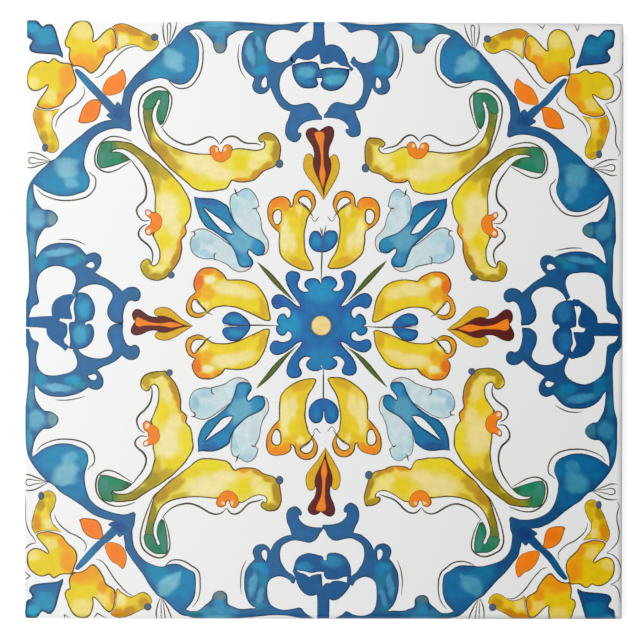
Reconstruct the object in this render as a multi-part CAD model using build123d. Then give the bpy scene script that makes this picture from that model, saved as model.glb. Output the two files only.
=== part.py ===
"""Glazed ceramic wall tile: one pressed and fired body with a cushioned face and a keyed back."""

import os

from build123d import *

# Sizes in millimetres. The tile lies on its back: z = 0 is the plane its ribs rest on.
face_width = 152.4  # along X, over the outside of the side walls
face_length = 152.4  # along Y
thickness = 6.35  # from the rib tops to the glazed face
corner_radius = 0.8  # the four upright corners, in plan

# Glazed edge: the face rolls over to the side walls in one arc, wider than it is deep.
cushion_width = 1.6  # how far in from the wall the face starts to fall
cushion_drop = 1.0  # how far the face has fallen where it meets the wall

# Foot: the press leaves the lower edge bevelled, so that it does not chip.
foot_inset = 0.9  # how far the bevel runs in under the tile
foot_height = 1.2  # how far the bevel runs up the wall

# Back: pockets with sloping walls leave a grid of ribs that keys into the mortar.
rim_width = 4.0  # plain border between the foot bevel and the outer pockets
rib_width = 3.2  # between pockets, measured on the bedding plane
pockets_across = 8  # along X
pockets_along = 8  # along Y
pocket_depth = 0.9
pocket_corner = 1.6  # plan radius of a pocket's corners at its mouth
pocket_draft = 25.0  # degrees, so that the die lets go


def edge_profile(width):
    """Section from foot bevel to face, run out a little past the walls, which the plan cuts."""
    wall = width / 2
    foot = wall - foot_inset
    face_edge = wall - cushion_width
    roll_radius = (cushion_width**2 + cushion_drop**2) / (2 * cushion_drop)
    roll_centre = thickness - roll_radius
    side = face_edge + roll_radius
    toe = foot_height * (side - foot) / foot_inset
    with BuildSketch(Plane.XZ) as section:
        with BuildLine():
            Line((-foot, 0), (foot, 0))
            Line((foot, 0), (side, toe))
            Line((side, toe), (side, roll_centre))
            CenterArc((face_edge, roll_centre), roll_radius, 0, 90)
            Line((face_edge, thickness), (-face_edge, thickness))
            CenterArc((-face_edge, roll_centre), roll_radius, 90, 90)
            Line((-side, roll_centre), (-side, toe))
            Line((-side, toe), (-foot, 0))
        make_face()
    return section.sketch

def pressed_blank():
    """The body before its back is keyed: the plan gives the walls, the two sections the edges."""
    plan = extrude(RectangleRounded(face_width, face_length, corner_radius), amount=thickness)
    across = extrude(edge_profile(face_width), amount=face_length, both=True)
    along = extrude(edge_profile(face_length), amount=face_width, both=True)
    return plan & across & along.rotate(Axis.Z, 90)

def pocket_mouth(width, count):
    """Side of one pocket at the bedding plane, from what the rim, the foot and the ribs leave."""
    keyed = width - 2 * (foot_inset + rim_width)
    return (keyed - (count - 1) * rib_width) / count


def key_pockets():
    """All the pockets of the back, as cutting solids."""
    mouth_x = pocket_mouth(face_width, pockets_across)
    mouth_y = pocket_mouth(face_length, pockets_along)
    mouth = RectangleRounded(mouth_x, mouth_y, pocket_corner)
    pocket = extrude(mouth, amount=pocket_depth, taper=pocket_draft)
    places = GridLocations(
        mouth_x + rib_width, mouth_y + rib_width, pockets_across, pockets_along
    )
    return [place * pocket for place in places]


tile = pressed_blank() - key_pockets()
tile.label = "tile"

os.makedirs("parts", exist_ok=True)
export_step(tile, "parts/tile.step")
print("tile", round(tile.volume / 1000, 1), "cm3", tile.bounding_box().size)
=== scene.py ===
import bpy
import bmesh
import math
from mathutils import Matrix, Vector
from mathutils.bvhtree import BVHTree


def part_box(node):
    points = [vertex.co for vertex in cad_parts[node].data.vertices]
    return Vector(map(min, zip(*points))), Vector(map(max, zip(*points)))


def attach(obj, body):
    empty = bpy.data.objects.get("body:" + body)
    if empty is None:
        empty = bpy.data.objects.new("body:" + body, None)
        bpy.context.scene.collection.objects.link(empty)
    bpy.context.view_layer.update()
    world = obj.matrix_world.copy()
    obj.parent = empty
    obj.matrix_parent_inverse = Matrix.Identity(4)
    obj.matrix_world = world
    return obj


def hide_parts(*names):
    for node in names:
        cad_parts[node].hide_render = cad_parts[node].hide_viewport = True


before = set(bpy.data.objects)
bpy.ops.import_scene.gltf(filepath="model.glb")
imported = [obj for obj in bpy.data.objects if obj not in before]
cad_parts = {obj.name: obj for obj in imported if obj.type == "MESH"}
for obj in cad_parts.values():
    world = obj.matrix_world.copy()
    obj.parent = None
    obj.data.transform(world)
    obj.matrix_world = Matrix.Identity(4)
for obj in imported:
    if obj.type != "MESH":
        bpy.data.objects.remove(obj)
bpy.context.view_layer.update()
mm = 0.001


# Colours are written as sRGB hex and turned to linear here
def toLinear(hexColour):
    parts = [int(hexColour[i:i + 2], 16) / 255 for i in (1, 3, 5)]
    linear = [c / 12.92 if c <= 0.04045 else ((c + 0.055) / 1.055) ** 2.4 for c in parts]
    return (*linear, 1.0)


# A noise texture's scale from the real size of its patches in millimetres
def scaleFor(size):
    return 1 / (size * mm)


def addNode(tree, kind, settings=None, inputs=None, links=None):
    node = tree.nodes.new(kind)
    for name, value in (settings or {}).items():
        setattr(node, name, value)
    for socket, value in (inputs or {}).items():
        node.inputs[socket].default_value = value
    for socket, source in (links or {}).items():
        tree.links.new(source, node.inputs[socket])
    return node


def newMaterial(name):
    material = bpy.data.materials.new(name)
    material.use_nodes = True
    material.node_tree.nodes.clear()
    return material, material.node_tree


def newPiece(name, mesh, materials):
    piece = bpy.data.objects.new(name, mesh)
    bpy.context.scene.collection.objects.link(piece)
    for material in materials:
        mesh.materials.append(material)
    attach(piece, "root")
    return piece


tileLow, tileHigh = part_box("tile")

body = {
    "paintDepth": 0.03,         # mm, how far the fired colour stands over the white glaze
    "mergeWithin": 0.001,       # mm, for the loose corners of the pressed shape
    "sharpAngle": 32,           # degrees
    "glazeLine": 2.1,           # mm up the walls, where the glaze stops
    "glazeWander": 0.5,         # mm, how unevenly it stops
    "wanderPatch": 6.25,        # mm, from one bend of that line to the next
    "glazeEnd": 0.12,           # mm, how softly it ends
    "pool": 30.303,             # mm across the cooler patches of the white
    "grain": 0.5,               # mm, the clay's grain
    "peel": 4.0,                # mm from crest to crest of the glaze's orange peel
    "peelShare": 0.12,          # how high the peel is, beside the clay's grain
    "reliefStrength": 0.25,
    "relief": 0.05,             # mm
    "clayRoughness": 0.88,
    "glazeRoughness": 0.16,
    "ior": 1.5,
    "white": "#F3F3F0",
    "whiteCool": "#EEF0F1",
    "biscuit": "#D8C7AC",
    "biscuitDark": "#C3AE90",
}

# The body's upper half is squeezed towards the middle by the depth of the painted colours,
# so that the colours end at the tile's full height
middleHeight = (tileLow.z + tileHigh.z) / 2
faceSink = (tileHigh.z - body["paintDepth"] * mm - middleHeight) / (tileHigh.z - middleHeight)


# Tin glaze over pressed biscuit: the face is a clean glossy white, the back a dry buff clay
def glazedBodyMaterial():
    material, tree = newMaterial("tin_glaze_over_biscuit")
    place = addNode(tree, "ShaderNodeTexCoord")
    parts = addNode(tree, "ShaderNodeSeparateXYZ", links={0: place.outputs["Object"]})
    wander = addNode(tree, "ShaderNodeTexNoise",
                     inputs={"Scale": scaleFor(body["wanderPatch"]), "Detail": 2.0},
                     links={"Vector": place.outputs["Object"]})
    wanderHeight = addNode(tree, "ShaderNodeMapRange",
                           inputs={"To Min": (body["glazeLine"] - body["glazeWander"]) * mm,
                                   "To Max": (body["glazeLine"] + body["glazeWander"]) * mm},
                           links={"Value": wander.outputs[0]})
    over = addNode(tree, "ShaderNodeMath", {"operation": "SUBTRACT"},
                   links={0: parts.outputs["Z"], 1: wanderHeight.outputs[0]})
    glazed = addNode(tree, "ShaderNodeMapRange",
                     inputs={"From Min": 0.0, "From Max": body["glazeEnd"] * mm},
                     links={"Value": over.outputs[0]})
    pools = addNode(tree, "ShaderNodeTexNoise",
                    inputs={"Scale": scaleFor(body["pool"]), "Detail": 3.0},
                    links={"Vector": place.outputs["Object"]})
    white = addNode(tree, "ShaderNodeMix", {"data_type": "RGBA"},
                    {6: toLinear(body["white"]), 7: toLinear(body["whiteCool"])},
                    {0: pools.outputs[0]})
    grain = addNode(tree, "ShaderNodeTexNoise",
                    inputs={"Scale": scaleFor(body["grain"]), "Detail": 4.0},
                    links={"Vector": place.outputs["Object"]})
    clay = addNode(tree, "ShaderNodeMix", {"data_type": "RGBA"},
                   {6: toLinear(body["biscuitDark"]), 7: toLinear(body["biscuit"])},
                   {0: grain.outputs[0]})
    colour = addNode(tree, "ShaderNodeMix", {"data_type": "RGBA"},
                     links={0: glazed.outputs[0], 6: clay.outputs[2], 7: white.outputs[2]})
    gloss = addNode(tree, "ShaderNodeMapRange",
                    inputs={"To Min": body["clayRoughness"], "To Max": body["glazeRoughness"]},
                    links={"Value": glazed.outputs[0]})
    # the orange peel stands on the glaze and the rough grain on the bare clay
    peel = addNode(tree, "ShaderNodeTexNoise",
                   inputs={"Scale": scaleFor(body["peel"]), "Detail": 1.0},
                   links={"Vector": place.outputs["Object"]})
    peelHeight = addNode(tree, "ShaderNodeMath", {"operation": "MULTIPLY"},
                         {1: body["peelShare"]}, {0: peel.outputs[0]})
    relief = addNode(tree, "ShaderNodeMix", links={0: glazed.outputs[0], 2: grain.outputs[0],
                                                   3: peelHeight.outputs[0]})
    bump = addNode(tree, "ShaderNodeBump",
                   inputs={"Strength": body["reliefStrength"], "Distance": body["relief"] * mm},
                   links={"Height": relief.outputs[0]})
    shader = addNode(tree, "ShaderNodeBsdfPrincipled", inputs={"IOR": body["ior"]},
                     links={"Base Color": colour.outputs[2], "Roughness": gloss.outputs[0],
                            "Normal": bump.outputs[0]})
    addNode(tree, "ShaderNodeOutputMaterial", links={0: shader.outputs[0]})
    return material


# The body is the pressed shape, merged, smoothed and sunk
def buildBody():
    bm = bmesh.new()
    bm.from_mesh(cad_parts["tile"].data)
    bmesh.ops.remove_doubles(bm, verts=bm.verts, dist=body["mergeWithin"] * mm)
    for v in bm.verts:
        if v.co.z > middleHeight:
            v.co.z = middleHeight + (v.co.z - middleHeight) * faceSink
    for face in bm.faces:
        face.smooth = True
    mesh = bpy.data.meshes.new("tile_body")
    bm.to_mesh(mesh)
    bm.free()
    mesh.set_sharp_from_angle(angle=math.radians(body["sharpAngle"]))
    piece = newPiece("tile_body", mesh, [glazedBodyMaterial()])
    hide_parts("tile")


buildBody()
print("body and glaze done")

tileWidth = (tileHigh.x - tileLow.x) / mm       # 152.4, the drawing's own width


# The drawing is laid out in millimetres right of the left edge and down from the top edge.
# One quarter is drawn and mirrored; each landmark says where the same point of the
# drawing lies in the top left, top right, bottom left and bottom right quarters.
landmarks = {
    "cornerLeafTip": ((9.5, 9.8), (140.0, 11.9), (10.1, 142.1), (140.7, 144.4)),
    "stemStart": ((12.2, 12.8), (138.0, 14.5), (12.9, 139.7), (138.5, 142.1)),
    "arrowCorner": ((27.0, 27.9), (122.4, 29.0), (28.4, 125.7), (123.3, 126.7)),
    "upperBulbSide": ((44.0, 8.5), (105.2, 10.0), (43.7, 143.6), (106.3, 143.9)),
    "upperBulbFoot": ((39.3, 16.6), (109.9, 15.9), (38.3, 138.2), (111.4, 138.5)),
    "upperDrip": ((49.3, 8.6), (99.8, 8.3), (49.8, 145.1), (101.3, 146.2)),
    "upperCrescent": ((54.7, 9.0), (95.0, 8.8), (55.9, 142.6), (95.3, 142.6)),
    "upperEye": ((60.6, 15.8), (89.6, 15.8), (61.1, 136.0), (90.4, 135.8)),
    "upperFoot": ((65.9, 28.0), (85.2, 27.6), (66.6, 126.3), (85.2, 126.0)),
    "upperFootEnd": ((68.5, 31.1), (83.0, 29.6), (68.9, 123.6), (82.8, 122.6)),
    "upperHeart": ((49.6, 34.3), (99.7, 33.2), (51.8, 121.6), (100.6, 121.4)),
    "upperDot": ((64.5, 36.5), (86.4, 37.6), (64.8, 116.9), (87.6, 115.5)),
    "upperCurl": ((61.0, 28.4), (89.5, 29.8), (62.0, 124.9), (88.4, 123.4)),
    "upperBelly": ((46.5, 43.8), (102.6, 44.3), (46.9, 111.4), (103.6, 111.1)),
    "upperGreen": ((34.3, 18.0), (116.3, 18.1), (34.7, 135.8), (116.7, 135.3)),
    "upperHorn": ((32.7, 4.5), (117.4, 4.4), (31.5, 149.2), (119.2, 149.2)),
    "upperLeafTip": ((24.6, 12.6), (125.0, 14.4), (25.2, 139.7), (125.7, 141.7)),
    "upperLeafFoot": ((19.4, 18.1), (130.5, 20.8), (20.5, 133.6), (131.2, 135.3)),
    "lowerLeafTip": ((13.3, 26.0), (137.2, 26.9), (14.0, 127.2), (137.7, 129.0)),
    "lowerLeafFoot": ((19.4, 21.3), (131.2, 22.0), (20.3, 131.4), (131.9, 133.8)),
    "lowerHorn": ((5.0, 32.7), (146.0, 33.7), (4.4, 121.1), (146.2, 123.1)),
    "lowerGreen": ((18.0, 36.0), (132.4, 36.6), (18.6, 117.7), (132.7, 118.7)),
    "lowerHeart": ((33.0, 51.5), (117.7, 51.8), (32.6, 105.7), (119.0, 102.4)),
    "lowerDot": ((37.1, 64.9), (114.0, 65.3), (36.7, 89.6), (113.6, 89.1)),
    "lowerCurl": ((33.3, 66.5), (119.7, 66.4), (33.7, 89.4), (118.2, 88.1)),
    "lowerBelly": ((42.3, 49.0), (108.6, 47.9), (42.7, 105.5), (109.2, 105.0)),
    "lowerBulbSide": ((16.4, 41.0), (135.1, 42.5), (16.3, 111.9), (134.8, 114.3)),
    "lowerBulbFoot": ((10.2, 45.1), (140.2, 48.6), (10.3, 107.7), (140.7, 109.9)),
    "lowerDrip": ((8.4, 50.5), (141.7, 52.9), (8.8, 101.9), (142.6, 104.5)),
    "lowerCrescent": ((9.6, 56.8), (140.7, 58.4), (8.8, 96.0), (140.7, 98.7)),
    "lowerEye": ((16.6, 62.5), (133.8, 62.5), (17.3, 90.9), (133.5, 92.3)),
    "lowerFoot": ((29.5, 70.0), (121.6, 69.9), (29.3, 84.3), (122.3, 85.7)),
    "lilyTip": ((42.8, 44.9), (107.3, 45.1), (44.2, 109.9), (108.2, 109.4)),
    "lilyUpperFoot": ((61.0, 58.5), (89.8, 57.6), (61.2, 97.0), (91.0, 96.6)),
    "lilyLowerFoot": ((56.0, 63.0), (95.0, 62.8), (55.6, 92.0), (94.6, 91.8)),
    "upperTulipTip": ((73.4, 63.5), (76.8, 62.9), (74.2, 91.3), (76.9, 91.0)),
    "upperTulipSide": ((61.4, 49.0), (90.3, 48.8), (61.3, 107.5), (90.9, 107.5)),
    "upperTulipCurl": ((71.0, 43.0), (81.1, 43.2), (71.8, 111.9), (81.1, 111.2)),
    "lowerTulipTip": ((62.4, 76.4), (88.3, 76.7), (62.2, 78.6), (88.7, 78.9)),
    "lowerTulipSide": ((46.5, 62.8), (105.0, 63.7), (45.9, 91.5), (105.0, 91.6)),
    "lowerTulipCurl": ((40.8, 73.0), (109.6, 73.3), (40.7, 83.0), (109.9, 83.0)),
    "rosetteUpper": ((68.0, 63.7), (82.2, 63.5), (68.4, 91.1), (82.5, 90.4)),
    "rosetteLower": ((62.6, 71.3), (88.2, 70.8), (62.2, 83.6), (88.1, 82.7)),
    "upperBandEnd": ((72.3, 0.15), (79.0, 0.2), (74.0, 152.4), (78.5, 152.6)),
    "upperBandOuter": ((65.0, 1.0), (86.5, 0.9), (65.8, 151.3), (86.0, 152.9)),
    "lowerBandEnd": ((0.0, 75.0), (152.3, 76.9), (0.0, 79.5), (152.4, 79.6)),
    "lowerBandOuter": ((1.0, 66.0), (149.7, 66.5), (1.0, 88.0), (149.8, 88.5)),
    "rosetteSlit": ((69.9, 72.7), (80.5, 72.6), (70.4, 81.8), (80.4, 81.9)),
}
mirrorSum = (150.6, 154.0)      # a point and its mirror image add up to about this
landmarkPull = {
    "blunt": 4.0,       # square mm, keeps a landmark from pulling sharply right beside itself
    "fade": 1.7,        # how fast its pull drops with distance
}
quarters = ("topLeft", "topRight", "bottomLeft", "bottomRight")


# Moves a point of the drawn quarter to another one, pulled along by the landmarks near it
def toQuarter(u, v, quarter):
    index = quarters.index(quarter)
    if index == 0:
        return u, v
    flipU = index in (1, 3)
    flipV = index in (2, 3)

    def mirrored(a, b):
        return (mirrorSum[0] - a if flipU else a, mirrorSum[1] - b if flipV else b)

    total = 0.0
    pullU = 0.0
    pullV = 0.0
    for places in landmarks.values():
        source = places[0]
        distance = (u - source[0]) ** 2 + (v - source[1]) ** 2
        weight = 1.0 / (distance + landmarkPull["blunt"]) ** landmarkPull["fade"]
        imageU, imageV = mirrored(*source)
        total += weight
        pullU += weight * (places[index][0] - imageU)
        pullV += weight * (places[index][1] - imageV)
    imageU, imageV = mirrored(u, v)
    return imageU + pullU / total, imageV + pullV / total


# Points are written "u,v" in millimetres, and a star makes that point a corner
def readPoints(text):
    points = []
    for word in text.split():
        u, v = word.strip("*").split(",")
        points.append((float(u), float(v), word.endswith("*")))
    return points


# Puts a knot of a curve at a drawn point: a corner, or smooth towards its neighbours
def setKnot(knot, place, corner):
    knot.co = place
    kind = "VECTOR" if corner else "AUTO"
    knot.handle_left_type = kind
    knot.handle_right_type = kind


# A curve's mesh, with the curve itself thrown away
def meshOfCurve(curve):
    holder = bpy.data.objects.new(curve.name, curve)
    bpy.context.scene.collection.objects.link(holder)
    bpy.context.view_layer.update()
    mesh = bpy.data.meshes.new_from_object(holder)
    bpy.data.objects.remove(holder)
    bpy.data.curves.remove(curve)
    return mesh


brushEdge = {
    "curveSteps": 4,        # steps of a drawn curve from knot to knot
    "slant": 0.31,          # radians; level points would leave seams in the fill
    "mergeWithin": 0.01,    # mm
    "start": 0.02,          # mm inside the border, where a shape's width is measured from
    "widthShare": 0.36,     # of a narrow place's width that the edge takes on each side
    "least": 0.01,          # mm, the narrowest edge
    "slack": 0.5,           # mm that the edge may widen in a millimetre along the border
    "evenings": 12,         # times that this is carried along
    "tries": (1.0, 0.6, 0.35, 0.15),    # shares of the edge, the widest that works is kept
    "areaError": 0.004,     # of the filled shape, past which the inner loop has crossed itself
}


# A closed flat curve through the points, filled at a slant, with the inner loops left open
def outlineMesh(loops):
    curve = bpy.data.curves.new("outline", "CURVE")
    curve.dimensions = "2D"
    curve.fill_mode = "BOTH"
    curve.resolution_u = brushEdge["curveSteps"]
    slant = Matrix.Rotation(brushEdge["slant"], 4, "Z")
    for points in loops:
        spline = curve.splines.new("BEZIER")
        spline.bezier_points.add(len(points) - 1)
        spline.use_cyclic_u = True
        for knot, (u, v, corner) in zip(spline.bezier_points, points):
            setKnot(knot, slant @ Vector((u, -v, 0)), corner)
    return meshOfCurve(curve), slant.inverted()


# How far in from each border point the brush's edge runs, and which way: less where the
# shape is narrow, and never changing faster along the border than the slack allows
def edgeReach(border, edge):
    walls = []
    inward = {}
    for e in border:
        low = [(v.co.x, v.co.y, -1.0) for v in e.verts]
        high = [(v.co.x, v.co.y, 1.0) for v in reversed(e.verts)]
        walls.append(low + high)
        tangent = e.calc_tangent(e.link_loops[0])
        for v in e.verts:
            inward[v] = inward.get(v, Vector()) + tangent
    corners = [c for wall in walls for c in wall]
    tree = BVHTree.FromPolygons(corners, [range(i, i + 4) for i in range(0, len(corners), 4)])
    reach = {}
    for v, direction in inward.items():
        direction.normalize()
        across = tree.ray_cast(v.co + direction * brushEdge["start"], direction)[3] or 0.0
        reach[v] = min(edge, brushEdge["widthShare"] * across + brushEdge["least"])
    for _ in range(brushEdge["evenings"]):
        for e in border:
            one, other = e.verts
            slack = brushEdge["slack"] * (one.co - other.co).length
            reach[one] = min(reach[one], reach[other] + slack)
            reach[other] = min(reach[other], reach[one] + slack)
    return inward, reach


# The filled outline with two more loops inside it, half the edge apart. The "rim" layer runs
# from 1 at the border to 0 at the inner loop. The loops are placed point by point, because
# the inset operator spikes where a shape is narrow.
def steppedShape(loops, edge):
    flat, unslant = outlineMesh(loops)
    filled = bmesh.new()
    filled.from_mesh(flat)
    bpy.data.meshes.remove(flat)
    bmesh.ops.remove_doubles(filled, verts=filled.verts, dist=brushEdge["mergeWithin"])
    bmesh.ops.recalc_face_normals(filled, faces=filled.faces)
    if sum(f.normal.z * f.calc_area() for f in filled.faces) < 0:
        bmesh.ops.reverse_faces(filled, faces=filled.faces)
    border = [e for e in filled.edges if len(e.link_faces) == 1]
    inward, reach = edgeReach(border, edge)
    wanted = sum(f.calc_area() for f in filled.faces)
    for share in brushEdge["tries"]:
        shape = bmesh.new()
        rim = shape.verts.layers.float.new("rim")
        steps = {}
        for v, direction in inward.items():
            steps[v] = []
            for level in (1.0, 0.5, 0.0):
                step = shape.verts.new(v.co + direction * reach[v] * share * (1 - level))
                step[rim] = level
                steps[v].append(step)
        inner = []
        for e in border:
            loop = e.link_loops[0]
            start, end = steps[loop.vert], steps[loop.link_loop_next.vert]
            for k in (0, 1):
                shape.faces.new((start[k], end[k], end[k + 1], start[k + 1]))
            inner.append(shape.edges.get((start[2], end[2])))
        bmesh.ops.triangle_fill(shape, edges=inner, use_beauty=True, normal=(0, 0, 1))
        error = abs(sum(f.calc_area() for f in shape.faces) / wanted - 1.0)
        if error < brushEdge["areaError"] or share == brushEdge["tries"][-1]:
            break
        shape.free()
    filled.free()
    for v in shape.verts:
        v.co = unslant @ v.co
    shape.normal_update()
    for f in shape.faces:
        if f.normal.z < 0:
            f.normal_flip()
    return shape


edgeRoll = {
    "width": 1.6,       # mm, as the pressed body has it
    "drop": 1.0,        # mm
    "gather": 0.025,    # mm, how much higher the paint stands where the roll ends
}


# Height that films lie at over a point, in metres: the white glaze, flat and then down the
# rolled edge, and what the paint gathers there
def glazeHeight(x, y):
    radius = (edgeRoll["width"] ** 2 + edgeRoll["drop"] ** 2) / (2 * edgeRoll["drop"]) * mm
    inward = min(tileHigh.x - abs(x), tileHigh.y - abs(y))
    past = max(0.0, edgeRoll["width"] * mm - max(0.0, inward))
    roll = radius - math.sqrt(radius ** 2 - past ** 2)
    gathered = edgeRoll["gather"] * mm * (past / (edgeRoll["width"] * mm)) ** 2
    return middleHeight + (tileHigh.z - roll - middleHeight) * faceSink + gathered


film = {
    "under": 0.06,              # mm, how deep the underside is buried in the white glaze
    "apart": 0.0012,            # mm between films that overlap, in four steps
    "quarterApart": 0.0003,     # mm between one film's copies
    "cutTolerance": 0.0001,     # mm
    # mm inside the wall: the first cut trims the paint, the others let it follow the roll
    "cuts": (0.06, 0.14, 0.26, 0.42, 0.62, 0.9, 1.2, 1.6),
}


def cutPaint(paint, place, normal, trim=False):
    everything = paint.verts[:] + paint.edges[:] + paint.faces[:]
    bmesh.ops.bisect_plane(paint, geom=everything, dist=film["cutTolerance"] * mm,
                           plane_co=place, plane_no=normal, clear_outer=trim)


# Paints a family of shapes: every shape is filled, its border stepped twice for the brush's
# edge, copied to the quarters, cut where the tile's edge rolls, and laid on the glaze.
def paintShapes(name, material, look, shapes, wholeShapes):
    paint = bmesh.new()
    rim = paint.verts.layers.float.new("rim")
    paint.loops.layers.uv.new("drawing")
    lower = paint.verts.layers.float.new("lower")
    jobs = [(s, quarters) for s in shapes] + [(s, quarters[:1]) for s in wholeShapes]
    for number, (loops, places) in enumerate(jobs):
        points = [readPoints(loop) if isinstance(loop, str) else loop for loop in loops]
        part = steppedShape(points, look["edge"])
        part.verts.layers.float.new("lower")
        drawing = part.loops.layers.uv.new("drawing")
        for f in part.faces:
            for loop in f.loops:
                loop[drawing].uv = (loop.vert.co.x / tileWidth, -loop.vert.co.y / tileWidth)
        for index, quarter in enumerate(places):
            copy = part.copy()
            copyLower = copy.verts.layers.float["lower"]
            for v in copy.verts:
                across, down = toQuarter(v.co.x, -v.co.y, quarter)
                v.co.x = across
                v.co.y = -down
                v[copyLower] = film["apart"] * (number % 4) + film["quarterApart"] * index
            if quarter in ("topRight", "bottomLeft"):
                bmesh.ops.reverse_faces(copy, faces=copy.faces)
            holder = bpy.data.meshes.new("copy")
            copy.to_mesh(holder)
            copy.free()
            paint.from_mesh(holder)
            bpy.data.meshes.remove(holder)
        part.free()
    for v in paint.verts:
        v.co.x = tileLow.x + v.co.x * mm
        v.co.y = tileHigh.y + v.co.y * mm
        v.co.z = 0.0
    for axis in (Vector((1, 0, 0)), Vector((0, 1, 0))):
        for side in (1, -1):
            for inward in film["cuts"]:
                wall = tileHigh.x - inward * mm
                cutPaint(paint, axis * side * wall, axis * side, inward == film["cuts"][0])
    for mitre in (Vector((1, 1, 0)), Vector((1, -1, 0))):
        cutPaint(paint, Vector(), mitre)
    # the film climbs from its foot to its full height over the outer half of the brush's edge
    foot = look["foot"]
    for v in paint.verts:
        climb = min(1.0, (1.0 - v[rim]) * 2)
        rise = foot + (look["lift"] - v[lower] - foot) * climb
        v.co.z = glazeHeight(v.co.x, v.co.y) + rise * mm
    paint.verts.layers.float.remove(lower)
    for f in paint.faces:
        f.smooth = True
    # a closed film: its underside lies buried in the white glaze
    under = bmesh.ops.extrude_face_region(paint, geom=paint.faces[:], use_keep_orig=True)
    for element in under["geom"]:
        if isinstance(element, bmesh.types.BMVert):
            element.co.z -= film["under"] * mm
        elif isinstance(element, bmesh.types.BMFace):
            element.normal_flip()
    mesh = bpy.data.meshes.new(name)
    paint.to_mesh(mesh)
    paint.free()
    newPiece(name, mesh, [material])
    print(name, "painted,", len(mesh.polygons), "faces")


veil = {
    "left": 0.06,           # how much the soft sheen adds at the tile's left edge
    "fade": 0.00046,        # how much less with each millimetre to the right
    "shown": 0.93,          # share of the paint's own colour that comes through it
    "usual": 35.0,          # mm from the left, for a colour that lies all over the tile
    "darkest": 0.003,
    "brightest": 0.95,
}


# The colours were picked under a soft sheen that is strongest on the left of the tile.
# This takes the sheen off again, so that the lamp and the sky can put it back.
def fired(hexColour, u=veil["usual"]):
    sheen = veil["left"] - veil["fade"] * u
    bare = [(c - sheen) / veil["shown"] for c in toLinear(hexColour)[:3]]
    return (*[min(veil["brightest"], max(veil["darkest"], c)) for c in bare], 1.0)


brushWork = {
    "edgePatch": 2.38095,       # mm, from one bend of a wash's edge to the next
    "edgeWander": 1.6,          # mm, how far it wanders, as wet colour does
    "washFull": 0.55,           # of its reach, up to where a wash is full
    "washEnd": 1.28,            # and where it has run out
    "streak": 2.08333,          # mm, from one brush mark to the next
    "streakThin": 0.3,          # noise value where the colour is thinnest, and thickest
    "streakThick": 0.7,
    "shadeToward": (1.0, -0.3, 0.0),    # painted shade: the colours darken towards the right, a little downward
    "shadeFrom": -20.0,         # mm along that way, where the painted shade starts and where it is full
    "shadeTo": 85.0,
    "swell": 0.5,               # how unevenly the drawn contour swells
    "roughness": (0.13, 0.24),
    "reliefStrength": 0.2,
    "relief": 0.02,             # mm
    "ior": 1.5,
}

# What a painted piece is given unless its own dictionary says otherwise
plainPaint = {
    "washes": [],               # (u, v, reach along, across, turn in degrees, hex, strength)
    "contour": (0.2, 0.55, 0.95),       # where the dark line starts, is full, and how full
    "load": 0.10,               # how much lighter and darker the brush marks are
    "paintedShadeTint": (1, 1, 1),        # red, green and blue left where the painted shade on the right is full
    "foot": -0.004,             # mm, how high the film's border lies on the white glaze
}
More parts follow.
